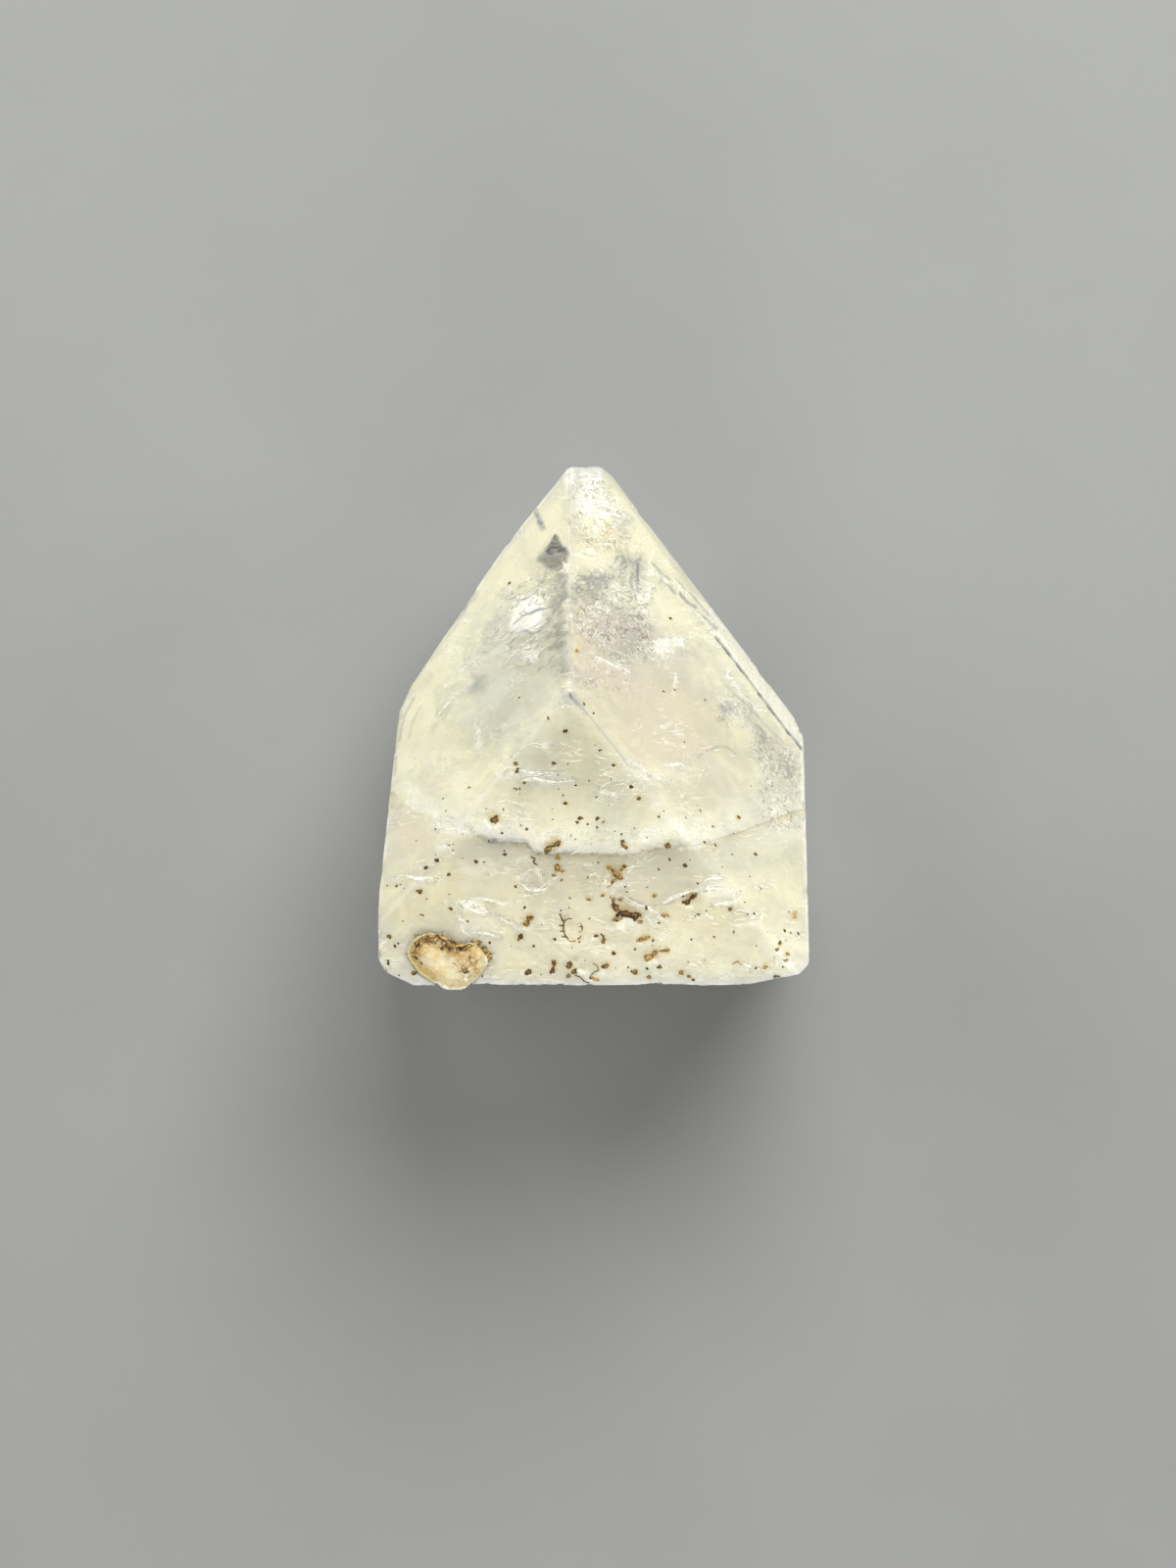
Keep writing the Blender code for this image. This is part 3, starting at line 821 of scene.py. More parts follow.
def carveRelief(points, normals, masks, away, pits):
    # how far in each point goes, mm
    root = smooth(-normals[:, 1], 0.55, 0.8)
    base = smooth(-normals[:, 2], 0.8, 0.95)
    inward = lumps(points, "swell", 1) + lumps(points, "ripple", 2) + lumps(points, "grain", 5)
    inward += lumps(points, "striae", 6, stretch=(1, 0.05, 1)) * (1 - root)
    depth, size, levels = crystalRelief["terraces"]
    level = (0.5 + 0.7 * noiseAt(points, size, 17, stretch=(1, 1, 0.7), detail=2)) * levels
    step = level - np.floor(level)
    terrace = np.clip((np.floor(level) + smooth(step, 0.0, crystalRelief["riser"])) / levels, 0, 1)
    inward += depth * root * terrace * smooth(away, 0.2, 1.0)
    strength, end = crystalRelief["riser glow"]
    raiseTo(masks, "white", strength * root * (1 - smooth(step, 0.05, end)))
    strength, end = crystalRelief["riser crumble"]
    raiseTo(masks, "crumble", strength * root * (1 - smooth(step, 0.10, end)))
    inward += lumps(points, "hackle", 7, detail=3) * root
    inward *= 1 - 0.8 * base
    depth, width = crystalRelief["edge wear"]
    inward += depth * smooth(-away, -width, 0)
    depth, size = crystalRelief["edge chips"]
    bite = smooth(noiseAt(points, size, 8) + 0.5 * noiseAt(points, 0.6, 11), 0.22, 0.75)
    inward += depth * bite * smooth(-away, -0.7, 0)
    inward += crystalMarks["groove"][0] * masks["groove"] + crystalRelief["crack"] * masks["crack"]
    inward += masks["crumble"] * lumps(points, "crumble", 15, detail=2)
    inward += masks["white"] * masks["crumble"] * lumps(points, "burst", 16, detail=2)
    spots = seenFrom(points)
    for pit in pits:
        inward += crystalRelief["pit"] * atPit(spots, pit, 1.5, 0.7) * (normals[:, 2] > 0.1)
    return inward


def meshArrays(bm):
    bm.verts.index_update()
    points = np.array([v.co for v in bm.verts]) / mm
    normals = np.array([v.normal for v in bm.verts])
    return points, normals


def setAttributes(mesh, masks):
    for name, values in masks.items():
        attribute = mesh.attributes.new(name, "FLOAT", "POINT")
        attribute.data.foreach_set("value", np.clip(values, 0, 1).astype(np.float32))


def addPiece(name, mesh, material, replaced=None):
    piece = bpy.data.objects.new(name, mesh)
    bpy.context.scene.collection.objects.link(piece)
    mesh.materials.append(material)
    mesh.shade_smooth()
    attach(piece, "root")
    if replaced:
        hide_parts(replaced)
    return piece


clay = {
    # rust-brown grains: places and half sizes in steps of the frame, turn in degrees, 0 dark to 1 orange
    "grains": [
        (504, 836, 5.4, 4.6, 20, 0.30), (505, 838, 4.0, 3.6, 40, 0.34), (560, 866, 5.5, 3.6, 25, 0.50),
        (568, 861, 5.5, 3.2, 35, 0.45), (569, 876, 2.6, 2.4, 0, 0.95), (569, 886, 4.6, 3.4, 75, 0.60),
        (629, 892, 6.5, 3.6, -55, 0.50), (622, 886, 4.2, 2.2, -35, 0.60), (635, 886, 4.6, 2.0, 50, 0.75),
        (626, 899, 3.4, 2.4, 20, 0.65), (634, 896, 3.2, 2.0, -10, 0.55), (638, 932, 8.0, 4.2, -12, 0.18),
        (648, 935, 5.6, 4.2, 25, 0.30), (628, 926, 5.6, 3.2, -45, 0.45), (653, 941, 3.4, 2.6, 0, 0.65),
        (630, 938, 5.0, 2.4, 15, 0.60), (626, 918, 3.6, 1.8, 75, 0.70), (634, 919, 3.0, 1.6, -20, 0.55),
        (701, 920, 4.6, 3.4, 30, 0.40), (707, 915, 4.6, 2.8, 35, 0.30), (537, 942, 4.6, 4.0, 45, 0.50),
        (540, 937, 4.0, 3.2, 10, 0.60), (531, 956, 4.6, 2.6, 60, 0.05), (601, 918, 4.4, 1.5, 0, 0.45),
        (615, 914, 2.4, 1.6, 30, 0.50), (668, 914, 2.6, 1.6, 0, 0.45), (654, 959, 4.4, 2.4, 10, 0.50),
        (660, 957, 4.0, 2.0, 25, 0.55), (678, 934, 4.6, 1.8, 10, 0.60), (616, 960, 4.6, 2.2, 75, 0.30),
        (608, 955, 2.4, 1.8, 0, 0.30), (661, 977, 5.2, 4.2, 15, 0.75), (668, 973, 4.6, 3.0, 40, 0.65),
        (679, 970, 4.6, 1.4, 5, 0.60), (565, 983, 3.4, 3.0, 85, 0.35), (564, 990, 3.6, 2.4, 80, 0.28),
        (581, 985, 4.6, 3.4, 80, 0.40), (586, 992, 3.2, 2.2, 60, 0.45), (580, 996, 3.0, 2.0, 30, 0.45),
        (618, 986, 4.4, 2.8, 20, 0.50), (626, 973, 2.4, 2.0, 0, 0.30), (648, 992, 3.0, 2.4, 0, 0.40),
        (662, 997, 2.4, 2.0, 0, 0.35), (695, 992, 3.0, 2.2, 15, 0.40), (703, 996, 2.4, 1.8, 0, 0.45),
        (707, 1000, 2.6, 1.6, 0, 0.35), (673, 987, 2.0, 1.6, 0, 0.30), (681, 863, 2.8, 2.4, 0, 0.40),
        (638, 864, 4.2, 2.2, -20, 0.45), (635, 859, 2.0, 1.8, 0, 0.30), (652, 815, 2.4, 2.0, 0, 0.20),
        (644, 803, 2.0, 1.8, 0, 0.15), (626, 781, 2.4, 1.6, 20, 0.20), (577, 820, 2.4, 1.8, 0, 0.25),
        (577, 746, 2.2, 1.8, 0, 0.15), (526, 779, 2.4, 2.2, 0, 0.40), (527, 787, 2.4, 1.8, 0, 0.35),
        (565, 779, 2.0, 1.6, 0, 0.20), (592, 835, 2.0, 1.6, 0, 0.20), (589, 839, 1.8, 1.5, 0, 0.20),
        (610, 835, 2.0, 1.8, 0, 0.15), (771, 872, 2.2, 1.8, 0, 0.20), (699, 883, 2.2, 1.8, 0, 0.30),
        (745, 928, 2.4, 1.8, 0, 0.30), (754, 834, 2.4, 1.8, 0, 0.20), (811, 934, 4.2, 1.9, 80, 0.95),
        (781, 987, 3.4, 2.2, 40, 0.60), (792, 996, 3.8, 1.8, 5, 0.40), (796, 962, 2.8, 1.8, 50, 0.60),
        (793, 969, 2.4, 1.8, 0, 0.50), (804, 973, 2.8, 1.8, 20, 0.60), (802, 980, 2.0, 1.6, 0, 0.65),
        (428, 910, 3.4, 2.8, 0, 0.30), (397, 956, 2.6, 2.2, 0, 0.25), (422, 993, 2.8, 2.0, 0, 0.30),
        (539, 992, 4.0, 3.4, 20, 0.35), (446, 878, 2.2, 1.8, 0, 0.15), (435, 885, 2.2, 1.8, 0, 0.15),
        (458, 892, 1.9, 1.6, 0, 0.15), (486, 879, 1.9, 1.6, 0, 0.15), (515, 872, 1.9, 1.6, 0, 0.15),
        (460, 927, 1.9, 1.6, 0, 0.15), (684, 631, 1.9, 1.6, 0, 0.10), (589, 664, 2.4, 1.8, 0, 0.70),
        (609, 1000, 5.4, 1.7, -4, 0.75), (604, 997, 2.6, 1.6, 50, 0.60), (520, 595, 1.9, 1.6, 0, 0.30),
        (565, 893, 1.8, 1.2, 0, 0.40), (574, 889, 2.0, 1.4, 30, 0.55),
    ],
    # threads of clay: width in mm, 0 dark to 1 orange, line
    "threads": [
        (0.20, 0.40, [(571, 932), (573, 937), (575, 941)]),
        (0.19, 0.40, [(577, 938), (575, 943), (575, 950), (577, 955), (580, 958)]),
        (0.14, 0.75, [(579, 959), (583, 961), (588, 960)]),
        (0.13, 0.65, [(591, 958), (594, 954)]),
        (0.14, 0.55, [(594, 950), (594, 945), (592, 941)]),
        (0.14, 0.60, [(577, 939), (581, 937), (584, 938)]),
        (0.12, 0.60, [(590, 946), (595, 945)]),
        (0.12, 0.65, [(589, 951), (594, 951)]),
        (0.17, 0.40, [(570, 944), (576, 945)]),
        (0.17, 0.40, [(571, 950), (577, 951)]),
        (0.17, 0.40, [(573, 956), (579, 956)]),
        (0.13, 0.40, [(586, 995), (592, 997), (597, 1002), (602, 1003)]),
        (0.14, 0.60, [(605, 983), (609, 985), (611, 990), (606, 992), (603, 995), (602, 999)]),
        (0.14, 0.30, [(541, 874), (546, 876), (544, 880), (549, 883)]),
        (0.13, 0.75, [(747, 984), (752, 981), (757, 985)]),
        (0.14, 0.55, [(619, 906), (624, 903), (627, 898)]),
        (0.14, 0.50, [(622, 914), (625, 919), (624, 925)]),
        (0.13, 0.60, [(672, 971), (678, 969), (684, 969)]),
    ],
    "lobed": 3.3,  # half length in steps from which a grain is made of several flakes
    "lobes": (5, 8),
    "lobe size": (0.18, 0.45),  # of the grain's half length
    "hidden": 110,  # grains on the sides and the root
    "hidden slope": (-0.85, 0.15),  # how far such a place may face down and up
    "hidden level": (-0.35, 0.3),  # what it is seen from, off the middle, in heights of the crystal
    "off floor": 2,  # mm
    "specks": 190,
    "speck size": (0.9, 2.3),  # half size in steps
    "speck area": ((395, 822), (480, 1004)),  # across and down
    # how many of them stay low on the front face, higher on it, on the slopes beside it and on the point
    "speck shares": (0.9, 0.55, 0.16, 0.05),
    "speck levels": (800, 700),  # down: where the low part of the front face begins, and the point ends
    "front face": (585, 705, 0.9),  # its top corner, and how fast it widens below
    "height": 0.36,  # of a grain's half width
    "fine": 5,  # half length in steps from which a grain gets more points
    "coarse": 2.4,  # and below which it gets fewer
    "lump": 0.95,
    "rim shade": (-0.32, 0.55),  # darker round the rim, lighter on top
    "cord sides": 6,
    "cord steps": 4,  # from one point of its line to the next
    "stops": [
        (0.0, (0.030, 0.019, 0.010)),
        (0.30, (0.110, 0.056, 0.018)),
        (0.60, (0.300, 0.180, 0.052)),
        (1.0, (0.600, 0.390, 0.135)),
    ],
    "seed": 23,
}


def onCrystal(surfaces, spot):
    # the place that is seen first there, or that is nearest in space, and which way the surface faces
    if len(spot) == 3:
        return surfaces[0].find_nearest(spot)[:2]
    start, way = sightLine(*spot)
    found = [surface.ray_cast(start, way) for surface in surfaces]
    return min(found, key=lambda hit: math.inf if hit[3] is None else hit[3])[:2]


def hiddenSpot(surface, draw):
    # a place on the sides or the root, clear of the floor, and which way it faces
    centre, high = (crystalLow + crystalHigh) / 2, crystalHigh.z - crystalLow.z
    least, most = clay["hidden slope"]
    while True:
        way = Vector((draw.gauss(0, 1), draw.gauss(0, 1), draw.gauss(0, 0.6))).normalized()
        middle = centre + Vector((0, 0, draw.uniform(*clay["hidden level"]) * high))
        spot, normal = surface[0].ray_cast(middle + way * 0.1, -way)[:2]
        if spot and least < normal.z < most and spot.z > clay["off floor"] * mm:
            return spot, normal


def grainShape(bm, shades, spot, normal, size, turn, shade, fineness, seed):
    # a crumbly flake pressed into the surface
    along = Vector((math.cos(turn), math.sin(turn), 0.01))
    side = normal.cross(along).normalized()
    along = side.cross(normal)
    long, wide, high = size
    rim, crown = clay["rim shade"]
    made = bmesh.ops.create_icosphere(bm, subdivisions=fineness, radius=1.0)["verts"]
    for vert in made:
        unit = vert.co.copy()
        lump = 1 + clay["lump"] * noise.fractal(unit * 1.7 + Vector((seed, 0, 0)), 0.8, 2.2, 3)
        lump += 0.2 * noise.noise(unit * 7 + Vector((0, seed, 0)))
        top = unit.z
        unit *= max(lump, 0.3)
        up = unit.z * high + 0.15 * high
        vert.co = spot + along * (unit.x * long) + side * (unit.y * wide) + normal * up
        vert[shades] = shade + rim + crown * max(top, 0)


def lobesOf(grains):
    # the larger grains are several flakes stuck together
    draw = random.Random(clay["seed"] + 1)
    made = []
    for across, down, long, wide, turn, shade in grains:
        if long < clay["lobed"]:
            made.append((across, down, long, wide, turn, shade))
            continue
        made.append((across, down, long * 0.7, wide * 0.7, turn, shade))
        cos, sin = math.cos(math.radians(turn)), math.sin(math.radians(turn))
        for i in range(draw.randint(*clay["lobes"])):
            out, off = draw.uniform(-0.95, 0.95) * long, draw.uniform(-0.7, 0.7) * wide
            place = (across + out * cos + off * sin, down - out * sin + off * cos)
            size = draw.uniform(*clay["lobe size"]) * long
            lobe = (*place, size, size * draw.uniform(0.3, 0.7), turn + draw.uniform(-75, 75))
            made.append((*lobe, shade + draw.uniform(-0.25, 0.25)))
    return made


def threadShape(bm, shades, surface, line, width, shade, seed):
    # a thin crooked cord of clay that follows the surface
    spots = [Vector(p) for p in line]
    steps, sides = clay["cord steps"], clay["cord sides"]
    path = [a.lerp(b, i / steps) for a, b in zip(spots[:-1], spots[1:]) for i in range(steps)]
    path = [onCrystal(surface, spot) for spot in path + [spots[-1]]]
    path = [(spot, normal) for spot, normal in path if spot]
    last = len(path) - 1
    rings = []
    for i, (spot, normal) in enumerate(path):
        ahead, behind = path[min(i + 1, last)][0], path[max(i - 1, 0)][0]
        side = (ahead - behind).cross(normal).normalized()
        swell = 0.75 + 0.6 * noise.noise(Vector((i * 0.6, seed, 0)))
        radius = width * 0.5 * mm * max(swell, 0.3) * (0.35 if i in (0, last) else 1)
        ring = []
        for k in range(sides):
            turn = math.tau * k / sides
            up = math.sin(turn) * radius * 0.8
            vert = bm.verts.new(spot + side * (math.cos(turn) * radius) + normal * up)
            vert[shades] = shade
            ring.append(vert)
        rings.append(ring)
    closeTube(bm, rings)


def clayMaterial():
    s = Shader("clay")
    flake = s.noise(0.32, 3, 0.65, warp=0.8)
    shade = s.attribute("shade") + (flake - 0.5) * 1.3 - flake.line(0.42, 0.05) * 0.35 - 0.06
    colour = s.add("ShaderNodeValToRGB", {"stops": clay["stops"]}, {0: shade})
    crumb = s.noise(0.18, 4, 0.7)
    settings = {
        "Base Color": colour,
        "Roughness": 0.48 + crumb * 0.35,
        "Specular IOR Level": 0.35,
        "Normal": s.bump(crumb + flake, 0.05),
    }
    return s.surface(s.add("ShaderNodeBsdfPrincipled", {}, settings))


def speckPlaces():
    # dust-size grains, thickest low on the front face and few on the slopes of the point
    draw = random.Random(clay["seed"])
    onLow, onFront, onSlope, onPoint = clay["speck shares"]
    lowBegins, pointEnds = clay["speck levels"]
    peak, top, widening = clay["front face"]
    places = []
    while len(places) < clay["specks"]:
        across, down = [draw.uniform(*reach) for reach in clay["speck area"]]
        if down > top + widening * abs(across - peak):
            share = onLow if down > lowBegins else onFront
        else:
            share = onPoint if down < pointEnds else onSlope
        if draw.random() < share:
            size = draw.uniform(*clay["speck size"]) * draw.uniform(0.6, 1)
            speck = (across, down, size, size * draw.uniform(0.6, 1), draw.uniform(0, 180))
            places.append((*speck, draw.uniform(0, 0.5)))
    return places


def hiddenGrains(surface):
    # a few grains on the sides and on the root: places in space, then as for the others
    draw = random.Random(clay["seed"] + 2)
    grains = []
    while len(grains) < clay["hidden"]:
        spot, normal = hiddenSpot(surface, draw)
        if normal.y < -0.5 or draw.random() < 0.35:
            size = draw.uniform(*clay["speck size"]) * draw.choice((0.7, 1, 1.6))
            grain = (spot, size, size * draw.uniform(0.6, 1), draw.uniform(0, 180))
            grains.append((*grain, draw.uniform(0.1, 0.7)))
    return grains


def makeClay(name, grains, threads, surface, fineness):
    bm = bmesh.new()
    shades = bm.verts.layers.float.new("shade")
    for i, (*spot, long, wide, turn, shade) in enumerate(grains):
        seen = len(spot) == 2
        spot, normal = onCrystal(surface, spot if seen else spot[0])
        if spot and (normal.z > 0.15 or not seen):
            size = [s * view["step"] * mm for s in (long, wide, wide * clay["height"])]
            detail = fineness - (long < clay["coarse"]) + (long > clay["fine"])
            grainShape(bm, shades, spot, normal, size, math.radians(turn), shade, detail, i * 3.7)
    for i, (width, shade, line) in enumerate(threads):
        threadShape(bm, shades, surface, line, width, shade, i * 5.1)
    bmesh.ops.recalc_face_normals(bm, faces=bm.faces)
    mesh = meshFrom(bm, name)
    print(name, len(mesh.polygons), "faces")
    addPiece(name, mesh, clayMaterial())


def smoothLine(line, gap):
    # points every gap steps along a curve through the given ones
    line = [Vector(p) for p in line]
    line = [line[0] * 2 - line[1]] + line + [line[-1] * 2 - line[-2]]
    curve = []
    for a, b, c, d in zip(line, line[1:], line[2:], line[3:]):
        count = max(2, round((c - b).length / gap))
        bend, turn = a * 2 - b * 5 + c * 4 - d, b * 3 - a - c * 3 + d
        for t in (i / count for i in range(count)):
            curve.append((b * 2 + (c - a) * t + bend * t**2 + turn * t**3) / 2)
    return curve + [line[-2]]


def wanderAt(along, seed):
    # noise.noise is the same each run, while noise.noise_vector starts from the clock
    return Vector([noise.noise(Vector((along, seed, row))) for row in feathers["wander rows"]])


def featherShape(bm, surface, line, breadth, depth, lean, seed):
    # a thin lens of white cleavage that starts in the skin and goes down into the crystal
    hidden = len(line[0]) == 3
    path = smoothLine(line, 0.0002 if hidden else 2.2)
    last = len(path) - 1
    spots = []
    for i, spot in enumerate(path):
        wander = wanderAt(i * 0.5, seed) * (0.00006 if hidden else 0.9)
        hit, normal = onCrystal(surface, spot + (wander if hidden else wander.xy))
        if not hit or (normal.z < 0.15 and not hidden):
            return
        spots.append((hit, normal))
    rings = []
    for i, (spot, normal) in enumerate(spots):
        ahead, behind = spots[min(i + 1, last)][0], spots[max(i - 1, 0)][0]
        down = (-normal + Vector((0, lean * (1 if seed % 2 > 1 else -1), 0))).normalized()
        side = (ahead - behind).cross(down).normalized()
        taper = max(math.sin(math.pi * i / last), 0.08) ** 0.7
        ragged = 0.75 + 0.5 * noise.noise(Vector((i * 0.8, seed, 3)))
        half, deep = breadth * 0.5 * taper * ragged * mm, depth * taper * ragged * mm
        top = spot + normal * (feathers["proud"] * mm)
        rows = feathers["section"]
        ring = [top + side * (half * w) + down * (deep * d) for d, w in rows]
        ring.append(top + down * deep)
        ring += [top - side * (half * w) + down * (deep * d) for d, w in rows[::-1]]
        rings.append([bm.verts.new(co) for co in ring])
    closeTube(bm, rings)


def featherMaterial():
    s = Shader("cleavage feather")
    veil = s.noise(0.5, 4, 0.6)
    settings = {
        "Base Color": s.mix(veil.between(0.3, 0.7), feathers["white"], feathers["cream"]),
        "Roughness": 0.22 + veil * 0.25,
        "Alpha": (0.55 + veil.between(0.35, 0.6) * 0.45).clamped(),
        "Normal": s.bump(veil, 0.03),
    }
    return s.surface(s.add("ShaderNodeBsdfPrincipled", {}, settings))


def strandsOf(lines):
    # thinner and shorter feathers beside the long ones
    draw = random.Random(feathers["seed"] + 1)
    made = []
    for breadth, depth, lean, line in lines:
        path = smoothLine(line, 1.5)
        for i in range(draw.randint(*feathers["strands"])):
            count = max(3, round(len(path) * draw.uniform(*feathers["strand length"])))
            start = draw.randrange(max(1, len(path) - count))
            apart = feathers["strand apart"]
            shift = Vector((draw.uniform(-apart, apart), draw.uniform(-apart, apart)))
            part = path[start:start + count]
            if len(part) > 2:
                strand = [part[0] + shift, part[len(part) // 2] + shift * 0.8, part[-1] + shift * 1.2]
                made.append((breadth * draw.uniform(*feathers["strand breadth"]), depth * 0.6, lean, strand))
    return made


def smallFeathers():
    # bundles all over the faces seen from above, which narrow towards the point
    draw = random.Random(feathers["seed"])
    across, along = feathers["small spread"]
    centre, half, narrowing, shoulder = feathers["small area"]
    made = []
    for i in range(feathers["small"]):
        down = draw.choice([draw.uniform(*row) for row in feathers["small rows"]])
        reach = min(half, half - narrowing * (shoulder - down)) - feathers["clear of border"]
        middle = Vector((centre + draw.uniform(-reach, reach), down))
        turn = draw.gauss(0, feathers["small turn"])
        for j in range(draw.randint(*feathers["small strands"])):
            length, way = draw.uniform(*feathers["small length"]), math.radians(turn + draw.gauss(0, 7))
            end, bow = Vector((math.cos(way), math.sin(way))) * length / 2, draw.uniform(-0.3, 0.3)
            spot = middle + Vector((draw.gauss(0, across), draw.gauss(0, along)))
            line = [spot - end, spot + Vector((-end.y, end.x)) * bow, spot + end]
            breadth, depth = draw.uniform(*feathers["small breadth"]), draw.uniform(*feathers["small depth"])
            made.append((breadth, depth, draw.uniform(0, 0.8), line))
    return made


def hiddenFeathers(surface):
    # cleavage seen edge on: lines across the sides, square to the length of the crystal
    draw = random.Random(feathers["seed"] + 2)
    made = []
    while len(made) < feathers["hidden"]:
        spot, normal = hiddenSpot(surface, draw)
        if abs(normal.y) > 0.8:
            continue
        way = normal.cross(Vector((0, 1, 0))).normalized()
        half = way * draw.uniform(*feathers["hidden length"]) / 2 * mm
        breadth, depth = draw.uniform(*feathers["small breadth"]), draw.uniform(*feathers["small depth"])
        for i in range(draw.randint(1, 3)):
            middle = spot + Vector((0, draw.gauss(0, 0.5), 0)) * mm + half * draw.uniform(-0.8, 0.8)
            reach = half * draw.uniform(0.3, 1)
            made.append((breadth, depth, 0, [middle - reach, middle, middle + reach]))
    return made


def makeFeathers(surface):
    bm = bmesh.new()
    lines = feathers["lines"] + strandsOf(feathers["lines"]) + smallFeathers() + hiddenFeathers(surface)
    for i, (breadth, depth, lean, line) in enumerate(lines):
        featherShape(bm, surface, line, breadth, depth, lean, i * 1.31)
    bmesh.ops.recalc_face_normals(bm, faces=bm.faces)
    mesh = meshFrom(bm, "cleavage_feathers")
    print("feathers", len(mesh.polygons), "faces")
    addPiece("cleavage_feathers", mesh, featherMaterial())


crystalFinish = {
    "cream": (0.905, 0.875, 0.665),
    "cool": (0.755, 0.765, 0.665),
    "warm": (0.745, 0.690, 0.560),
    "white": (0.995, 0.985, 0.90),
    # colour of the painted shade and dark reflection, and of dark tones
    "dusk": (0.092, 0.105, 0.125),
    "dull": (0.68, 0.67, 0.54),
    # painted shade beside the glints of the folds
    "fold shade": (0.40, 0.40, 0.32),
    # mid tone of the painted shade and dark reflection, and of the cracks
    "slate": (0.55, 0.60, 0.58),
    "plum": (0.60, 0.485, 0.475),
    "plum fold shade": (0.31, 0.215, 0.20),  # painted shade of the folds in the plum patches
    "stain": (0.85, 0.63, 0.20),
    "straw": (0.91, 0.83, 0.52),
    "glass": (1, 1, 0.97),
    "fold size": (2.0, 0.62, 2.0),  # mm, of the folds in the flaws
    "fold lean": 32,  # degrees
    "relief": 0.035,  # mm, finer than the mesh
    "bend of light": 1.535,
    "depth of glow": 0.0033,  # m
    "glow": (1.0, 0.95, 0.75),
    "absorbed": (0.96, 0.92, 0.76),
    "absorption": 9.0,
}


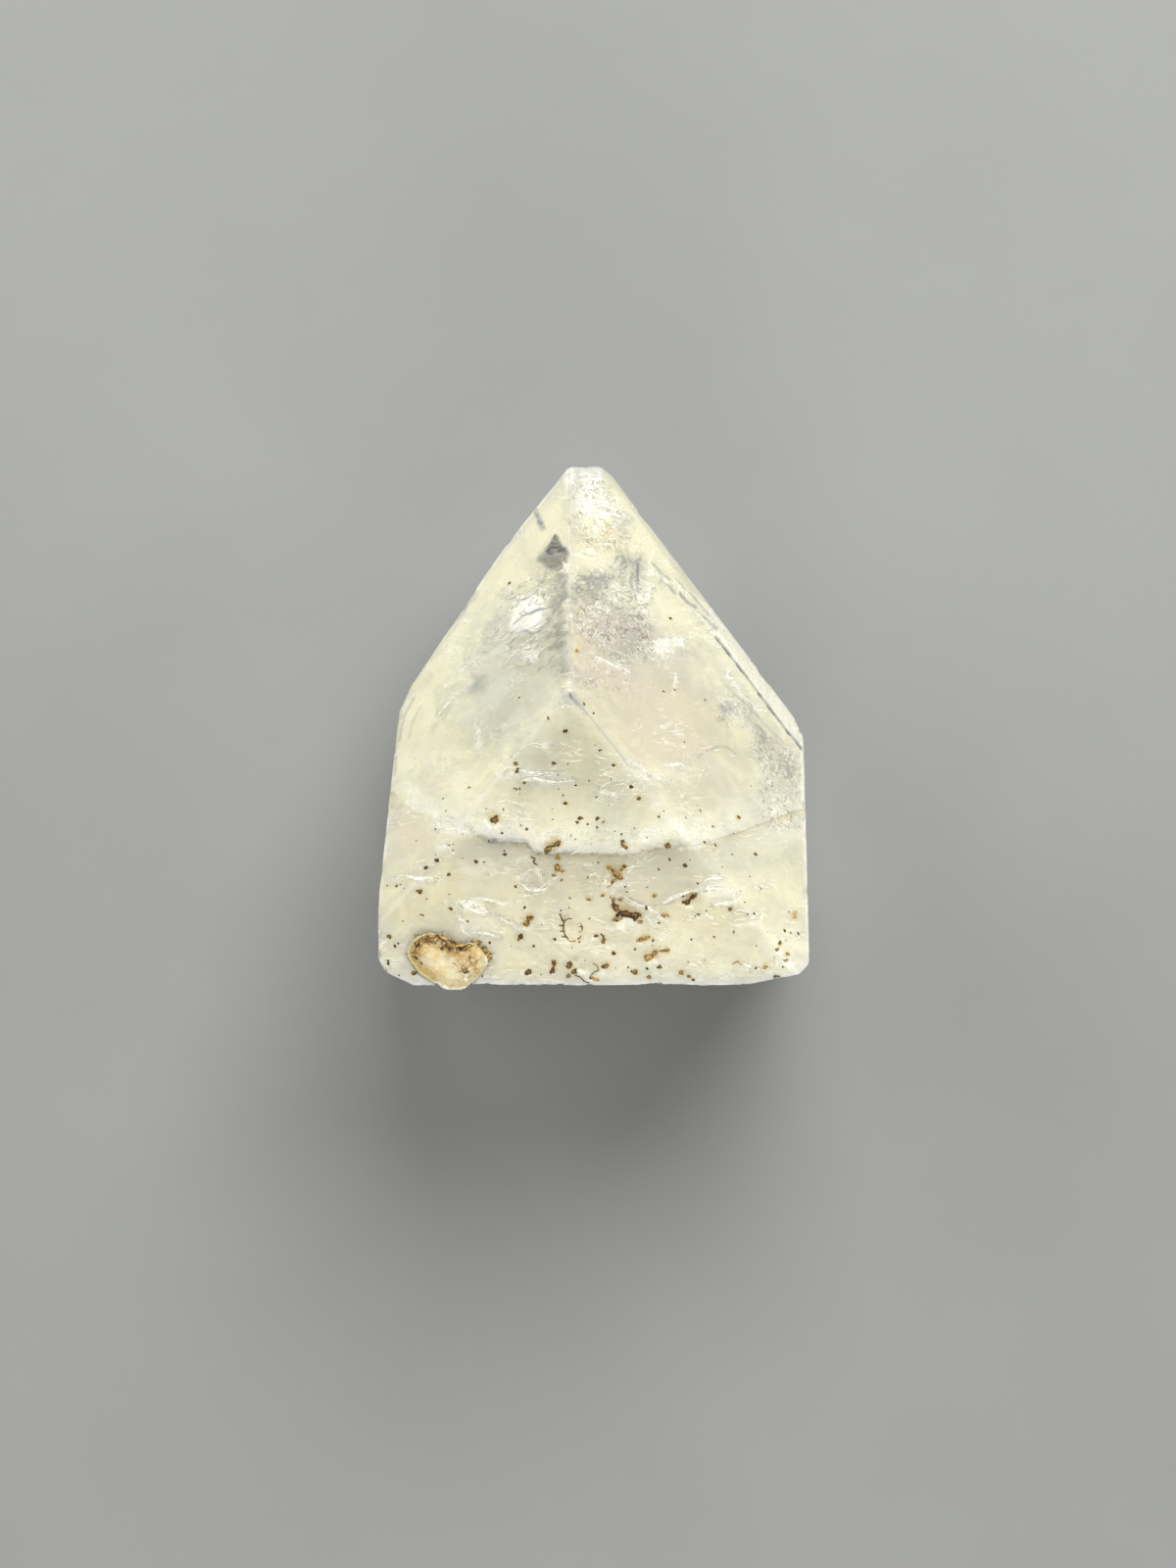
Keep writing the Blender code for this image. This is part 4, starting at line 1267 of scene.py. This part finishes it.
def crystalMaterial():
    s = Shader("apophyllite")
    clear, dusk, cool, warm = map(s.attribute, ("clear", "dusk", "cool", "warm"))
    plum, white, crumble, streak = map(s.attribute, ("plum", "white", "crumble", "streak"))
    stain, crack, worn, crease = map(s.attribute, ("stain", "crack", "worn", "crease"))
    cloud = s.noise(9, 3, 0.5, warp=0.4)
    haze = s.noise(3.5, 4, 0.55, warp=0.5)
    crumbs = s.noise(1.1, 1.5, 0.6, warp=1.7)
    sizes, lean = Vector(crystalFinish["fold size"]) * mm, math.radians(crystalFinish["fold lean"])
    slant = {"Vector": s.place, "Rotation": (0, 0, lean), "Scale": sizes}
    slanted = s.add("ShaderNodeMapping", {"vector_type": "TEXTURE"}, slant)
    sockets = {"Vector": slanted, "Scale": 1.0, "Detail": 1.5, "Distortion": 0.8}
    folds = s.add("ShaderNodeTexNoise", {}, sockets)
    curl = streak * folds + (1 - streak) * crumbs  # the fine folds of the flaws
    drawn = s.noise(1.3, 3, 0.6, stretch=(0.42, 1.5, 0.42), warp=0.9)  # and of the cleavage wisps
    wispy = s.noise(4.0, 3, 0.6, stretch=(0.8, 1.2, 0.8)).between(0.50, 0.60)
    paper = s.noise(0.55, 4, 0.75, stretch=(0.45, 1.4, 0.45))
    f = crystalFinish
    colour = s.mix(cool, f["cream"], f["cool"])
    colour = s.mix(warm, colour, f["warm"])
    colour = s.mix(plum, colour, f["plum"])
    colour = s.mix(cloud.between(0.42, 0.68) * 0.25, colour, f["straw"])
    colour = s.mix(haze.between(0.42, 0.62) * 0.30, colour, f["cool"])
    colour = s.mix(crumble * 0.45, colour, f["dull"])
    # painted glints along the fine folds of the flaws
    glints = (crumble + white * 0.4).clamped() * curl.line(0.465, 0.050)
    wisps = drawn.line(0.50, 0.022) * wispy
    ragged = 0.45 + drawn.between(0.42, 0.55) * 0.4 + streak * 0.2
    # worn edges add their whitening and the painted rim light here
    bright = white * ragged + glints * 1.2 + wisps * 0.6 + worn * 0.5 + (paper - 0.5) * 0.5
    colour = s.mix(bright.clamped(), colour, f["white"])
    colour = s.mix(stain * crumbs.between(0.35, 0.60), colour, f["stain"])
    # painted shade beside those glints, with fine dark streaks
    shades = (crumble + white * 0.8).clamped() * curl.line(0.535, 0.045)
    shades = shades * 0.95 + drawn.line(0.545, 0.022) * wispy * 0.3 + (0.46 - paper) * 0.9
    shades = shades * (1 + plum * 0.7)
    colour = s.mix(shades.clamped(), colour, s.mix(plum, f["fold shade"], f["plum fold shade"]))
    # painted shade and dark reflection, the cracks, and painted shade in the bevel groove
    grey = (dusk * (0.50 + crumbs * 0.9) + crack * 0.85).clamped()
    colour = s.mix((grey * 2.4).clamped() * 0.6, colour, f["slate"])
    colour = s.mix(grey, colour, f["dusk"])
    # painted glints in the dark patches
    colour = s.mix((dusk * 2).clamped() * curl.line(0.50, 0.05) * 0.5, colour, f["white"])
    frost = (0.24 + haze.between(0.35, 0.7) * 0.14 + crumble * 0.10 - clear * 0.14 + crease * 0.30).clamped()
    height = haze * 0.6 + curl * (crumble + white * 0.5).clamped() * 0.9 + paper * 0.25 + wisps * 0.3
    normal = s.bump(height, f["relief"])
    settings = {
        "Base Color": colour,
        "Roughness": frost,
        "IOR": f["bend of light"],
        "Subsurface Weight": 1.0,
        "Subsurface Radius": f["glow"],
        "Subsurface Scale": f["depth of glow"],
        "Normal": normal,
    }
    milk = s.add("ShaderNodeBsdfPrincipled", {"subsurface_method": "RANDOM_WALK"}, settings)
    settings = {
        # the see-through part is darkened by the same painted shade
        "Base Color": s.mix(grey * 0.8, f["glass"], f["dusk"]),
        "Roughness": 0.04 + haze * 0.08,
        "IOR": f["bend of light"],
        "Transmission Weight": 1.0,
        "Normal": normal,
    }
    glass = s.add("ShaderNodeBsdfPrincipled", {}, settings)
    inner = 0.22 + clear * 0.45 + cool * 0.10
    inner = inner + haze.between(0.40, 0.66) * 0.10 + cloud.between(0.35, 0.65) * 0.06
    inner = (inner - white * 0.25 - wisps * 0.15 - worn * 0.3).clamped()
    both = s.add("ShaderNodeMixShader", {}, {0: inner, 1: milk, 2: glass})
    volume = {"Color": (*f["absorbed"], 1), "Density": f["absorption"]}
    return s.surface(both, s.add("ShaderNodeVolumeAbsorption", {}, volume))


def easePoints(points, links, chosen, times, axes):
    # the chosen points go half way to the middle of their neighbours, many times over
    start, end = links.T
    size = len(points)
    count = np.bincount(start, minlength=size) + np.bincount(end, minlength=size)
    for i in range(times):
        for axis in axes:
            values = points[:, axis]
            total = np.bincount(start, values[end], size) + np.bincount(end, values[start], size)
            values[chosen] += 0.5 * (total / count - values)[chosen]


def onTop(points, normals):
    # the faces seen from above, clear of the base
    return (normals[:, 2] > 0.2) & (points[:, 2] > 8)


def easeLedge(bm):
    # the growth step is soft and fades out at its left end, and so are the edges beside the front face
    points, normals = meshArrays(bm)
    links = np.array([[v.index for v in edge.verts] for edge in bm.edges])
    spots = seenFrom(points)
    upper = onTop(points, normals)
    below = np.abs(ledgeDrop(spots, "ledge cut"))
    near, times = crystalMarks["ledge ease"]
    end, farther, more = crystalMarks["ledge end"]
    reach, count = crystalMarks["crease ease"]
    nearCrease = upper & (creaseDistance(spots) < reach)
    ending = upper & (below < farther) & (spots[:, 0] < end)
    easePoints(points, links, ending & (spots[:, 0] > crystalMarks["left side"]), more, (0, 1, 2))
    easePoints(points, links, ending, more, (2,))
    easePoints(points, links, upper & (below < near), times, (2,))
    easePoints(points, links, nearCrease, count, (2,))
    across, down = np.array(sum(crystalMarks["left creases"], []), float).T
    onFront = smooth(spots[:, 0] - np.interp(spots[:, 1], down, across), 0, 14)
    forward = ledgeDrop(spots, "ledge cut") - ledgeDrop(spots)
    fading = 1 - smooth(below, *crystalMarks["ledge forward"])
    points[:, 1] -= forward * view["step"] * onFront * upper * fading
    for vert, spot in zip(bm.verts, points):
        vert.co = Vector(spot) * mm
    bm.normal_update()


def atSeat(points, normals, front):
    # for each point, 1 over its sideways slope on the walls of the grain's seat, fading out to the front
    gap, low, high = matrixGrain["seat"]
    side = np.hypot(normals[:, 0], normals[:, 1])
    share = smooth(points[:, 2], low, high) * smooth(side, 0.15, 0.5)
    return share * smooth(points[:, 1], *front) / np.maximum(side, 0.1)


def makeCrystal(pits):
    bm = fineMesh("crystal")
    easeLedge(bm)
    points, normals = meshArrays(bm)
    spots = seenFrom(points)
    away = sharpEdgeDistance(points)
    offLedge, offCrease = crystalMarks["unworn"]
    eased = (np.abs(ledgeDrop(spots)) < offLedge) | (creaseDistance(spots) < offCrease)
    away[eased & onTop(points, normals)] = crystalRelief["unworn"]
    masks = markMasks(points, normals)
    # whitening of worn edges, painted rim light along the outline and a painted highlight on the ridge
    masks["worn"] = edgeWearAndRimLight(points, away)
    upward = normals[:, 2] > 0.1
    for pit in pits:
        raiseTo(masks, "stain", crystalMarks["pit stain"] * atPit(spots, pit, 2.2, 0.8) * upward)
    seat = depthInside(spots, matrixGrain["outline"])
    raiseTo(masks, "stain", crystalMarks["seat stain"] * smooth(seat, -6, 0) * upward)
    inward = carveRelief(points, normals, masks, away, pits)
    closing = matrixGrain["seat closed"] * atSeat(points, normals, (-22.0, -21.4)) * (seat > -7)
    movePoints(bm, normals, inward, normals * np.outer(closing, (1, 1, 0)))
    surface = BVHTree.FromBMesh(bm)
    mesh = meshFrom(bm, "crystal_body")
    setAttributes(mesh, masks)
    print("crystal", len(mesh.vertices), "points", len(mesh.polygons), "faces")
    addPiece("crystal_body", mesh, crystalMaterial(), "crystal")
    return surface


matrixGrain = {
    "outline": [
        (420, 971), (426, 962), (440, 953), (447, 954), (460, 961), (472, 967), (486, 961), (493, 965),
        (502, 980), (493, 993), (486, 999), (478, 1007), (456, 1007), (444, 999), (426, 980),
    ],
    "rims": [  # brown crust: strength, width, line
        (1.0, 13, [(425, 969), (434, 960), (446, 959), (458, 966), (468, 971)]),
        (0.9, 8, [(468, 970), (478, 969), (487, 964)]),
        (1.0, 4.5, [(418, 971), (426, 983), (434, 992), (442, 998)]),
        (0.9, 6, [(488, 963), (496, 969), (502, 979)]),
        (0.6, 4, [(503, 981), (498, 989), (491, 995)]),
    ],
    "tints": {
        "gold": (0.9, 3, [(439, 974), (447, 973), (448, 980), (441, 982)]),
        "tan": (0.9, 6, [(466, 980), (478, 970), (492, 966), (499, 979), (486, 992), (474, 988)]),
        "flecks": (0.9, 5, [(464, 984), (484, 974), (500, 979), (488, 996), (474, 1003), (464, 1000)]),
    },
    # crumbs in its seat: half size in mm, then how many on each stretch of the crust
    "crumb": (0.04, 0.13),
    "crumbs": [
        (60, 5.0, [(425, 969), (432, 961), (441, 957), (450, 959), (460, 965), (470, 967)]),
        (16, 3.0, [(466, 966), (478, 967), (488, 963)]),
        (8, 1.0, [(423, 973), (430, 983), (438, 992)]),
        (10, 1.6, [(488, 965), (495, 971), (500, 979)]),
        (9, 6.0, [(466, 990), (480, 984), (492, 978)]),
    ],
    # larger flakes of the crust, written like the clay's grains
    "flakes": [
        (470, 965, 6.5, 3.6, -20, 0.90), (463, 962, 5.5, 3.2, -35, 0.70), (478, 964, 5.0, 3.0, 20, 0.80),
        (452, 957, 5.5, 3.4, -15, 0.85), (440, 955, 6.0, 3.6, 10, 0.95), (431, 961, 5.5, 3.6, 50, 0.80),
        (426, 969, 4.5, 3.0, 70, 0.65), (487, 962, 4.5, 2.6, 30, 0.75), (495, 969, 4.0, 2.4, -60, 0.60),
    ],
    "seat closed": 0.2,  # mm that the crystal closes in on it
    "seat": (0.13, 32.2, 33.1),  # mm it is wider by, and the levels between which it widens to fill its seat
    "sunk": 0.30,  # mm that its rim is lower
    "rounded": 0.07,  # mm round its outline
    # its relief: depth and size in mm
    "lumps": (0.12, 1.1),
    "pores": (0.05, 0.4),
    "pale": (0.74, 0.69, 0.49),
    "ochre": (0.70, 0.57, 0.31),
    "tan": (0.58, 0.38, 0.12),
    "gold": (0.80, 0.50, 0.12),
    # colour of the painted glints on the grain
    "white": (0.95, 0.92, 0.74),
    "rust": (0.62, 0.41, 0.12),
    "umber": (0.34, 0.19, 0.05),
    "dark": (0.12, 0.06, 0.018),
    "glow": (1.0, 0.8, 0.45),
    "depth of glow": 0.0012,  # m
    "seed": 5,
}


def matrixGrainMaterial():
    s = Shader("stained matrix")
    rim, gold, tan, flecks = map(s.attribute, ("rim", "gold", "tan", "flecks"))
    blot = s.noise(1.3, 4, 0.6, warp=0.6)
    crumb = s.noise(0.55, 3, 0.65, warp=1.0)
    g = matrixGrain
    colour = s.mix(blot.between(0.40, 0.62), g["pale"], g["ochre"])
    colour = s.mix(tan * blot.between(0.30, 0.55) * 0.7, colour, g["tan"])
    colour = s.mix(gold * crumb.between(0.35, 0.6) * 0.8, colour, g["gold"])
    # painted glints along its crumbs
    colour = s.mix((crumb.line(0.44, 0.04) * 0.5).clamped(), colour, g["white"])
    colour = s.mix(rim * crumb.between(0.28, 0.46) * 0.85, colour, g["rust"])
    colour = s.mix((flecks * crumb.line(0.545, 0.050)).clamped(), colour, g["umber"])
    dark = rim * (crumb.line(0.50, 0.035) * 0.6 + crumb.between(0.62, 0.69))
    colour = s.mix(dark.clamped(), colour, g["dark"])
    settings = {
        "Base Color": colour,
        "Roughness": 0.34 + crumb * 0.25 + rim * 0.2,
        "IOR": crystalFinish["bend of light"],
        "Subsurface Weight": 1.0,
        "Subsurface Radius": g["glow"],
        "Subsurface Scale": g["depth of glow"],
        "Normal": s.bump(blot * 0.6 + crumb * 0.4, 0.08),
    }
    return s.surface(s.add("ShaderNodeBsdfPrincipled", {}, settings))


def makeMatrixGrain():
    bm = fineMesh("matrix_grain")
    points, normals = meshArrays(bm)
    spots = seenFrom(points)
    wander = 2.5 * noiseAt(points, 0.8, 23)
    inside = depthInside(spots, matrixGrain["outline"])
    upper = smooth(normals[:, 2], 0.3, 0.7)
    depth, size = matrixGrain["lumps"]
    inward = matrixGrain["rounded"] * smooth(-inside, -5, 0)
    inward += depth * (0.5 + 0.5 * noiseAt(points, size, 21, detail=3))
    depth, size = matrixGrain["pores"]
    inward += depth * (0.5 + 0.5 * noiseAt(points, size, 22))
    masks = {"rim": np.zeros(len(points))}
    for strength, width, line in matrixGrain["rims"]:
        near = wander - nearLine(spots, line)
        raiseTo(masks, "rim", strength * smooth(near, -width, -width * 0.3))
    for name, (strength, soft, corners) in matrixGrain["tints"].items():
        masks[name] = strength * smooth(depthInside(spots, corners) + wander, -soft, soft)
    wider = matrixGrain["seat"][0] * atSeat(points, normals, (-22.2, -21.4))
    lower = matrixGrain["sunk"] * smooth(-inside + wander, -9, 1) * upper
    aside = np.column_stack([normals[:, 0] * wider, normals[:, 1] * wider, -lower])
    movePoints(bm, normals, inward * upper, aside)
    grain = BVHTree.FromBMesh(bm)
    mesh = meshFrom(bm, "stained_grain")
    setAttributes(mesh, masks)
    addPiece("stained_grain", mesh, matrixGrainMaterial(), "matrix_grain")
    return grain


def rimCrumbs():
    # crumbs of brown clay round the stained grain, most of them along its upper side
    draw = random.Random(matrixGrain["seed"])
    crumbs = lobesOf(matrixGrain["flakes"])
    for count, spread, line in matrixGrain["crumbs"]:
        path = smoothLine(line, 1.0)
        for i in range(count):
            spot = path[draw.randrange(len(path))]
            size = draw.uniform(*matrixGrain["crumb"]) / view["step"] * draw.choice((0.7, 1, 1.6))
            place = (spot.x + draw.uniform(-spread, spread), spot.y + draw.uniform(-spread, spread))
            crumb = (*place, size * draw.uniform(1.2, 3), size * 0.8, draw.uniform(0, 180))
            crumbs.append((*crumb, draw.uniform(0.3, 0.95)))
    return crumbs


pits = [((x, y), (long + wide) / 2) for x, y, long, wide, turn, shade in clay["grains"] if long > 2.2]
surface = makeCrystal(pits)
makeFeathers([surface])
makeClay("clay_grains", lobesOf(clay["grains"]), clay["threads"], [surface], 3)
makeClay("clay_specks", speckPlaces() + hiddenGrains([surface]), [], [surface], 2)
grain = makeMatrixGrain()
makeClay("seat_clay", rimCrumbs(), [], [grain, surface], 3)

bpy.context.view_layer.update()
